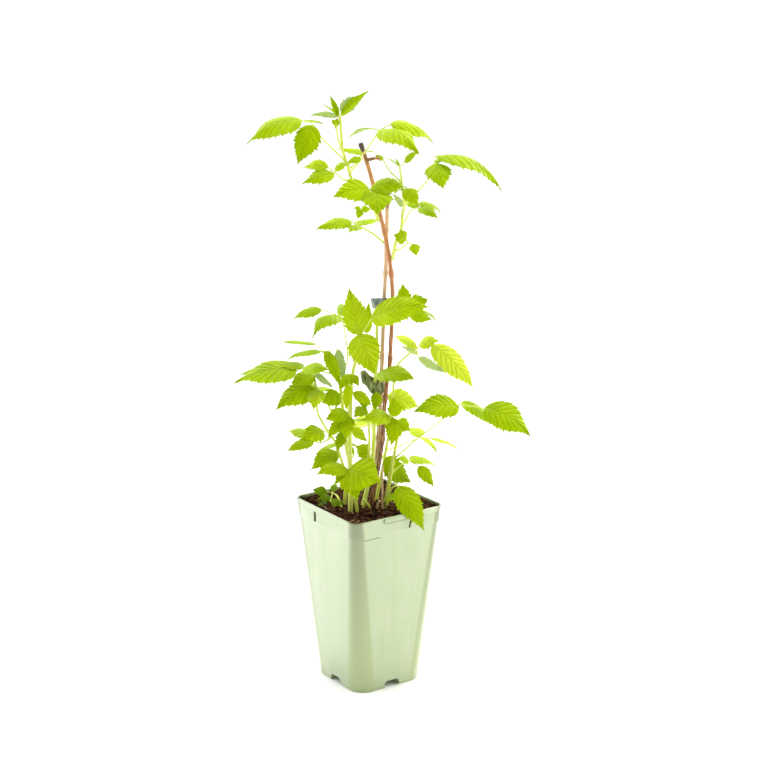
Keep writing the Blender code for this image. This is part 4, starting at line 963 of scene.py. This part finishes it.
def pot_loops():
    """The pot's section as (height, half width, corner): up the outside, over the rim, down the inside."""
    loops = [(0.0, FOOT_HALF - 1.2, FOOT_CORNER - 1.2), (0.35, FOOT_HALF - 0.4, FOOT_CORNER - 0.4)]
    loops += [(height, wall_half(height), wall_corner(height))
              for height in (1.4, 30.0, 60.0, 95.0, 125.0, 155.0, COLLAR_LOW - 1.0)]
    low, high, top = COLLAR_LOW, POT_HEIGHT - BEAD_HEIGHT, POT_HEIGHT
    collar = wall_half(low) + COLLAR_STEP
    corner = wall_corner(low)
    loops += [
        (low, wall_half(low) + 0.15, corner), (low + 0.6, collar - 0.35, corner + 0.4),
        (low + COLLAR_STEP, collar, corner + 0.7), (high - 1.2, RIM_HALF - BEAD_STEP, RIM_CORNER - BEAD_STEP),
        (high - 0.7, RIM_HALF - BEAD_STEP + 0.1, RIM_CORNER - 0.6), (high, RIM_HALF - 0.12, RIM_CORNER - 0.1),
        (high + 0.5, RIM_HALF, RIM_CORNER), (top - 0.6, RIM_HALF, RIM_CORNER),
        (top - 0.17, RIM_HALF - 0.17, RIM_CORNER - 0.17), (top, RIM_HALF - 0.6, RIM_CORNER - 0.6),
        (top - 0.02, RIM_HALF - 1.6, RIM_CORNER - 1.5), (top - 0.5, RIM_HALF - 2.1, RIM_CORNER - 2.0),
        (PEAT_TOP, PEAT_HALF - 0.1, PEAT_CORNER), (low + 2.0, collar - WALL, corner - WALL + 0.6),
        (low, wall_half(low) - WALL, corner - WALL), (FLOOR_TOP, wall_half(FOOT_CORNER) - WALL - 0.7, 17.0),
    ]
    return loops


def add_loop(height, half, corner):
    """Adds a square with round corners to the mesh in edit mode and keeps only its outline."""
    bpy.ops.mesh.select_all(action="DESELECT")
    bpy.ops.mesh.primitive_plane_add(size=2.0 * half * MM, location=(0.0, 0.0, height * MM))
    bpy.ops.mesh.bevel(offset=corner * MM, segments=CORNER_STEPS, profile=0.5, affect="VERTICES")
    bpy.ops.mesh.delete(type="ONLY_FACE")


def on_loop(point, height, half, corner):
    """Whether a point in millimetres lies on the round corners of one outline."""
    over_x, over_y = (max(0.0, abs(value) - (half - corner)) for value in (point.x, point.y))
    return abs(point.z - height) < 0.001 and abs(math.hypot(over_x, over_y) - corner) < 0.1


def select_loops(piece, loops):
    """Selects the outlines that have these heights, half widths and corners."""
    work = bmesh.from_edit_mesh(piece.data)
    for vertex in work.verts:
        vertex.select = any(on_loop(vertex.co / MM, *loop) for loop in loops)
    work.select_flush(True)
    bmesh.update_edit_mesh(piece.data)


def soft_box(low, high, lean=0.0, edge=0.0):
    """A box between two corners in millimetres with eased edges, whose sides can lean along X."""
    bpy.ops.mesh.primitive_cube_add(size=1.0)
    piece = bpy.context.object
    centre = (Vector(low) + Vector(high)) * 0.5 * MM
    size = (Vector(high) - Vector(low)) * MM
    for vertex in piece.data.vertices:
        point = vertex.co * size
        point.x += point.z * math.tan(lean)
        vertex.co = point + centre
    if edge:
        apply(piece, "BEVEL", width=edge * MM, segments=3)
    return piece


def side_box(side, along, deep, up, lean=0.0, edge=0.0):
    """A box on the face at Y = side: along it, in depth from it, and up. The other face gets the same
    box turned half round."""
    x = sorted(side * value for value in along)
    y = sorted(side * (RIM_HALF + value) for value in deep)
    return soft_box((x[0], y[0], up[0]), (x[1], y[1], up[1]), side * lean, edge)


def quarter_turn(quarter):
    """A turn round the pot's middle line."""
    return Matrix.Rotation(math.radians(90 * quarter), 4, "Z")


def arch_cutter(quarter):
    """The arched gap between two feet, with round shoulders, up to the pad in the middle."""
    reach = FOOT_HALF + 6.0
    piece = soft_box((-ARCH_WIDTH / 2, -reach, -1.0), (ARCH_WIDTH / 2, -CENTRE_PAD_HALF, ARCH_HEIGHT))
    activate(piece)
    bpy.ops.object.mode_set(mode="EDIT")
    work = bmesh.from_edit_mesh(piece.data)
    bpy.ops.mesh.select_mode(type="EDGE")
    for edge in work.edges:
        ends = [end.co for end in edge.verts]
        edge.select = all(end.z > 0.0 for end in ends) and abs(ends[0].x - ends[1].x) < 1e-6
    bmesh.update_edit_mesh(piece.data)
    bpy.ops.mesh.bevel(offset=0.6 * ARCH_HEIGHT * MM, segments=6)
    bpy.ops.mesh.select_mode(type="VERT")
    bpy.ops.object.mode_set(mode="OBJECT")
    piece.data.transform(quarter_turn(quarter))
    return piece


def drain_cutter(quarter):
    """A round drain hole through the floor."""
    centre = quarter_turn(quarter) @ Vector((DRAIN_PLACE, 0.0, FLOOR_TOP)) * MM
    bpy.ops.mesh.primitive_cylinder_add(vertices=28, radius=DRAIN_RADIUS * MM, depth=2.0 * FLOOR_TOP * MM)
    piece = bpy.context.object
    piece.data.transform(Matrix.Translation(centre))
    return piece


def build_pot(plastic):
    """The moulded tub: outlines bridged into one closed wall, then the arches, holes, slots and lips."""
    loops = pot_loops()
    bpy.ops.mesh.primitive_plane_add(size=1.0)
    piece = bpy.context.object
    bpy.ops.object.mode_set(mode="EDIT")
    bpy.ops.mesh.select_mode(type="VERT")
    bpy.ops.mesh.select_all(action="SELECT")
    bpy.ops.mesh.delete(type="VERT")
    for i, loop in enumerate(loops):
        add_loop(*loop)
        if i:
            select_loops(piece, loops[i - 1:i + 1])
            bpy.ops.mesh.bridge_edge_loops()
    for end in (loops[0], loops[-1]):
        select_loops(piece, [end])
        bpy.ops.mesh.edge_face_add()
    close_up(0.001)
    for side in (-1, 1):
        combine(piece, side_box(side, *LIP, edge=LIP_EDGE), "UNION")
        for along, deep, up, lean, quarter in POT_CUTS:
            cutter = side_box(side, along, deep, up, math.radians(lean))
            cutter.data.transform(quarter_turn(quarter))
            combine(piece, cutter, "DIFFERENCE")
    for quarter in range(4):
        combine(piece, arch_cutter(quarter), "DIFFERENCE")
        combine(piece, drain_cutter(quarter), "DIFFERENCE")
    wear(piece, plastic)
    fit(piece, "moulded_pot", "pot_plastic", "pot", smooth=32)


def peat_height(x, y):
    """The uneven top of the peat, a little higher round the stems, with its crumb."""
    coarse = 1.3 * noise.noise(Vector((x / 9.0, y / 9.0, 3.0)))
    lumps = 0.9 * noise.noise(Vector((x / 3.5, y / 3.5, 7.0)))
    crumb = 0.7 * abs(noise.noise(Vector((x / 1.4, y / 1.4, 11.0))))
    mound = 2.4 * math.exp(-(x * x + y * y) / 30.0 ** 2)
    edge = PEAT_RISE * max(0.0, (max(abs(x), abs(y)) - 40.0) / (PEAT_HALF - 40.0))
    return PEAT_TOP - 0.2 + coarse + lumps + crumb + mound + edge


def round_corner(x, y, half, corner):
    """Fits a point of the peat's square grid into a square of another half width with round corners."""
    x, y = x * half / PEAT_HALF, y * half / PEAT_HALF
    flat = half - corner
    over_x, over_y = abs(x) - flat, abs(y) - flat
    if over_x > 0.0 and over_y > 0.0:
        draw_in = max(over_x, over_y) / math.hypot(over_x, over_y)
        x = math.copysign(flat + over_x * draw_in, x)
        y = math.copysign(flat + over_y * draw_in, y)
    return x, y


def peat_bed():
    """The peat: an uneven top, and sides that follow the inside of the pot down to its floor."""
    bpy.ops.mesh.primitive_grid_add(x_subdivisions=PEAT_CELLS, y_subdivisions=PEAT_CELLS,
                                    size=2.0 * PEAT_HALF * MM)
    piece = bpy.context.object
    bpy.ops.object.mode_set(mode="EDIT")
    bpy.ops.mesh.select_all(action="SELECT")
    bpy.ops.mesh.region_to_loop()
    for level in PEAT_LEVELS:
        bpy.ops.mesh.extrude_edges_move(TRANSFORM_OT_translate={"value": (0.0, 0.0, -1.0)})
    bpy.ops.mesh.edge_face_add()
    close_up()
    for vertex in piece.data.vertices:
        level = round(-vertex.co.z)
        grid_x, grid_y = vertex.co.x / MM, vertex.co.y / MM
        if level:
            height, half, corner = PEAT_LEVELS[level - 1]
            x, y = round_corner(grid_x, grid_y, half, corner)
        else:
            x, y = round_corner(grid_x, grid_y, PEAT_HALF, PEAT_CORNER)
            height = peat_height(x, y)
        vertex.co = Vector((x, y, height)) * MM
    return piece


def lump_shape(seed):
    """One crumb: a ball of few faces, pushed out of round."""
    bpy.ops.mesh.primitive_ico_sphere_add(subdivisions=2, radius=0.5)
    piece = bpy.context.object
    for vertex in piece.data.vertices:
        vertex.co *= 0.8 + 0.7 * noise.noise(vertex.co * 2.2 + Vector((seed, 0.0, 0.0)))
    return piece


def chip_shape(seed):
    """One bark chip: a thin splintered slab with broken ends."""
    bpy.ops.mesh.primitive_cube_add(size=1.0)
    piece = bpy.context.object
    bpy.ops.object.mode_set(mode="EDIT")
    bpy.ops.mesh.subdivide(number_cuts=1)
    bpy.ops.object.mode_set(mode="OBJECT")
    for vertex in piece.data.vertices:
        push = noise.noise_vector(vertex.co * 1.7 + Vector((seed, seed, 0.0)))
        vertex.co = Vector((vertex.co.x, vertex.co.y * 0.42, vertex.co.z * 0.16)) + push * 0.09
    return piece


def scatter(work, shapes, count, sizes, slot, spread, draw):
    """Copies small shapes over the peat, each turned and sized by a seeded draw."""
    for i in range(count):
        x, y = spread(draw)
        if max(abs(x), abs(y)) > PEAT_HALF - 2.5:
            continue
        size = draw.uniform(*sizes)
        turn = Euler((draw.uniform(-0.5, 0.5), draw.uniform(-0.5, 0.5), draw.uniform(0.0, math.tau)))
        spot = Vector((x, y, peat_height(x, y) + 0.18 * size)) * MM
        matrix = Matrix.Translation(spot) @ turn.to_matrix().to_4x4() @ Matrix.Scale(size * MM, 4)
        first = len(work.faces)
        work.from_mesh(shapes[i % len(shapes)].data)
        work.faces.ensure_lookup_table()
        fresh = work.faces[first:]
        corners = {vertex for face in fresh for vertex in face.verts}
        bmesh.ops.transform(work, matrix=matrix, verts=list(corners))
        for face in fresh:
            face.material_index = slot


def all_over(draw):
    """A place anywhere on the peat."""
    return draw.uniform(-PEAT_HALF, PEAT_HALF), draw.uniform(-PEAT_HALF, PEAT_HALF)


def round_the_stems(draw):
    """A place near the stems, on the side that faces the viewer more often than not."""
    spot = ACROSS * draw.gauss(10.0, 22.0) + TOWARD * draw.gauss(22.0, 14.0)
    return spot.x, spot.y


def straws(draw, count):
    """Bits of straw and root that lie bent on the peat near the stems."""
    runs = []
    for i in range(count):
        x, y = round_the_stems(draw) if i % 3 else all_over(draw)
        if max(abs(x), abs(y)) > PEAT_HALF - 9.0:
            continue
        heading = draw.uniform(0.0, math.tau)
        route = []
        for step in range(5):
            across = x * ACROSS.x + y * ACROSS.y
            toward = x * TOWARD.x + y * TOWARD.y
            route.append(Vector((across, toward, peat_height(x, y) + 0.5 + 0.5 * math.sin(step * 1.3 + i))))
            length = draw.uniform(1.4, 3.4)
            x += length * math.cos(heading)
            y += length * math.sin(heading)
            heading += draw.uniform(-0.5, 0.5)
        radius = draw.uniform(0.25, 0.6)
        runs.append((route, taper(5, radius, 0.6 * radius)))
    return bars("straws", runs, 0)


def build_peat(finishes):
    """The peat with its crumbs, bark chips and straw as one piece."""
    draw = random.Random(7)
    bed = peat_bed()
    lumps = [lump_shape(seed) for seed in (1, 2, 3)]
    chips = [chip_shape(seed) for seed in (1, 2, 3)]
    work = bmesh.new()
    scatter(work, lumps, *SMALL_LUMPS, 1, all_over, draw)
    scatter(work, lumps, *LARGE_LUMPS, 1, all_over, draw)
    scatter(work, chips, *RED_CHIPS, 2, round_the_stems, draw)
    scatter(work, chips, *OLD_CHIPS, 3, all_over, draw)
    crumbs = link_mesh(work, "crumbs")
    for shape in lumps + chips:
        bpy.data.objects.remove(shape)
    bits = straws(draw, STRAWS)
    wear(bed, *finishes)
    wear(crumbs, *finishes)
    wear(bits, finishes[4])
    activate(bits, crumbs, bed)
    bpy.ops.object.join()
    fit(bed, "peat_bed", "peat", "soil", smooth=50)


def build_tie(name, node, ends, finish, radius, lowest, height, slant, lift):
    """A soft strap round its stems: a band with round ends in plan, crumpled a little, its edges rounded.
    Slant tips it toward the viewer, and lift raises its left end."""
    left, right = ends
    work = bmesh.new()
    loops = []
    profile = [(i / 6, 0.5 + 0.1 * math.sin(math.pi * i / 6)) for i in range(7)]
    section = [(share * height, -half) for share, half in profile]
    section += [(share * height, half) for share, half in reversed(profile)]
    for level, spread in section:
        loop = []
        for end, start in ((right, -90), (left, 90)):
            for i in range(29):
                angle = math.radians(start + 180 * i / 28)
                tuck = 2.0 * (1.0 - level / height) if end is left else 0.0
                reach = radius + spread * 1.2
                across = end[0] + tuck + reach * math.cos(angle)
                toward = end[1] + reach * math.sin(angle)
                crumple = noise.noise_vector(Vector((across / 3.2, toward / 3.2, level / 7.0)))
                pull = min(1.0, max(0.0, (5.0 - across) / 10.0))
                up = lowest + level - slant * toward + lift * pull * pull * (3.0 - 2.0 * pull)
                spot = Vector((across, toward, up)) + crumple * 0.45
                loop.append(work.verts.new(place(spot)))
        loops.append(loop)
    for lower, upper in zip(loops, loops[1:] + loops[:1]):
        for i in range(len(lower)):
            j = (i + 1) % len(lower)
            work.faces.new((lower[i], lower[j], upper[j], upper[i]))
    bmesh.ops.recalc_face_normals(work, faces=work.faces)
    piece = link_mesh(work, name)
    wear(piece, finish)
    apply(piece, "BEVEL", width=0.35 * MM, segments=2, limit_method="ANGLE", angle_limit=math.radians(50))
    fit(piece, name, "tie_strap", node, smooth=60)


def build_stalk(name, slot, node, points, radii, finishes):
    """A short bare stem that stands in the peat, with its broken end."""
    route = smooth_route(points, 2.5)
    route = [route[0] - UP * ROOT_DEPTH] + route
    piece = bars(name, [(route, taper(len(route), *radii))], 4)
    wear(piece, *finishes)
    roughen(piece, 0.14, 1.0)
    dress_cuts(piece)
    fit(piece, name, slot, node)


def set_camera():
    """The photograph's own view: from the left front corner of the pot, a little above it."""
    data = bpy.data.cameras.new("camera")
    data.lens = LENS
    data.sensor_width = 36.0
    data.clip_end = 50.0
    camera = bpy.data.objects.new("camera", data)
    bpy.context.scene.collection.objects.link(camera)
    back = TOWARD * math.cos(VIEW_RISE) + UP * math.sin(VIEW_RISE)
    camera.location = place(VIEW_TARGET) + back * VIEW_DISTANCE
    camera.rotation_euler = back.to_track_quat("Z", "Y").to_euler()
    bpy.context.scene.camera = camera


def softbox(name, spot, size, power, tint):
    """A square studio light that faces the middle of the plant."""
    across, toward, up = spot
    where = ACROSS * across + TOWARD * toward + UP * up
    data = bpy.data.lights.new(name, "AREA")
    data.shape = "SQUARE"
    data.size = size
    data.energy = power
    data.color = linear(tint)[:3]
    light = bpy.data.objects.new(name, data)
    bpy.context.scene.collection.objects.link(light)
    light.location = where
    aim = where - UP * SOFTBOX_AIM
    light.rotation_euler = aim.to_track_quat("Z", "Y").to_euler()
    light.visible_camera = False


def white_room():
    """A white room that is lit from behind and above, and darker on the side of the camera."""
    world = bpy.data.worlds.new("white_room")
    world.use_nodes = True
    tree = world.node_tree
    where = add(tree, "TexCoord").outputs["Generated"]
    facing = add(tree, "VectorMath", {0: where}, {1: tuple(TOWARD)}, operation="DOT_PRODUCT")
    shade = add(tree, "MapRange", {0: facing.outputs["Value"]}, {1: -0.1, 2: 0.75, 3: 1.6, 4: 0.34},
                interpolation_type="SMOOTHSTEP")
    link(tree, shade, tree.nodes["Background"].inputs[1])
    tree.nodes["Background"].inputs[0].default_value = (1.0, 1.0, 1.0, 1.0)
    bpy.context.scene.world = world


def set_studio():
    """A white paper floor in the bright room, with a softbox on each side, one overhead and two behind."""
    white_room()
    bpy.context.scene.view_settings.view_transform = "Standard"
    bpy.ops.mesh.primitive_circle_add(vertices=96, radius=FLOOR_RADIUS, fill_type="NGON")
    floor = bpy.context.object
    floor.name = "paper_floor"
    wear(floor, backdrop_paper())
    for name, settings in SOFTBOXES.items():
        softbox(name, *settings)


def build_plant():
    """Every shoot, cane, stalk and tie."""
    finishes = (leaf_upper_side(), leaf_underside(), green_stem_skin())
    for shoot in SHOOTS:
        leafy_shoot(shoot, finishes)
    wood = cut_wood()
    # The last colour of each bark is its pale fibre streak, partly painted highlight.
    red = cane_bark("reddish_cane_bark", PEAT_TOP, CANE_FRONT[-1][2],
                    ((0.0, "#4A281A"), (0.2, "#6A3A22"), (0.45, "#96502A"), (0.8, "#C07C40"),
                     (1.0, "#B47A34")), "#DCA66A")
    tan = cane_bark("tan_cane_bark", PEAT_TOP, CANE_BACK[-1][2] + 2.0,
                    ((0.0, "#7E5436"), (0.4, "#BC9060"), (1.0, "#DCBA8E")), "#F0DAB4")
    knobbly_cane("front_cane", CANE_FRONT, FRONT_RADIUS, red, wood, "cane_bark", "cane_front", CANE_STUB)
    knobbly_cane("back_cane", CANE_BACK, BACK_RADIUS, tan, wood, "cane_bark_pale", "cane_back")
    straw = dry_straw()
    build_stalk("dry_stick", "dry_stem", "dry_twig", DRY_TWIG, (1.2, 1.1), (straw, wood))
    build_stalk("dry_stump", "dry_stem", "dry_stub", DRY_STUB, (1.5, 1.3), (straw, wood))
    build_stalk("green_stump", "young_leaf", "green_stub", GREEN_STUB, (1.7, 1.4), (finishes[2], wood))
    # Each tie's darkest and palest stops are painted shade in its creases and painted highlight on its folds.
    grey = soft_tie("grey_foam_tie",
                    ((0.3, "#464F4B"), (0.45, "#76827E"), (0.6, "#A4ACA8"), (0.75, "#C6CCC8")))
    olive = soft_tie("weathered_foam_tie",
                     ((0.3, "#363E14"), (0.46, "#5A6428"), (0.6, "#868E54"), (0.75, "#AEB686")))
    build_tie("upper_tie", "tie_upper", ((10, 0.5), (22.8, 0.5)), grey,
              radius=7.0, lowest=422, height=11.0, slant=-0.27, lift=0.0)
    build_tie("lower_tie", "tie_lower", ((1, -3.8), (7.6, -3.8)), olive,
              radius=9.5, lowest=328, height=12.5, slant=0.0, lift=10.0)
    return straw


bpy.ops.object.select_all(action="DESELECT")
set_camera()
set_studio()
straw_finish = build_plant()
# Each ramp's darkest stop is painted shade in the hollows of the crumb.
peat_finish = damp_peat("damp_peat", ((0.34, "#0E0805"), (0.5, "#3A2010"), (0.64, "#704420")), 3.4)
crumb_finish = damp_peat("peat_crumb", ((0.34, "#160D07"), (0.5, "#4E301A"), (0.66, "#8E623A")), 2.6)
chip_finish = damp_peat("red_bark_chip", ((0.3, "#6A2614"), (0.5, "#A84E30"), (0.7, "#D08058")), 1.8)
old_chip_finish = damp_peat("old_bark_chip", ((0.3, "#2A1C14"), (0.5, "#6A5040"), (0.7, "#A08868")), 1.8)
build_peat((peat_finish, crumb_finish, chip_finish, old_chip_finish, straw_finish))
build_pot(pot_plastic())
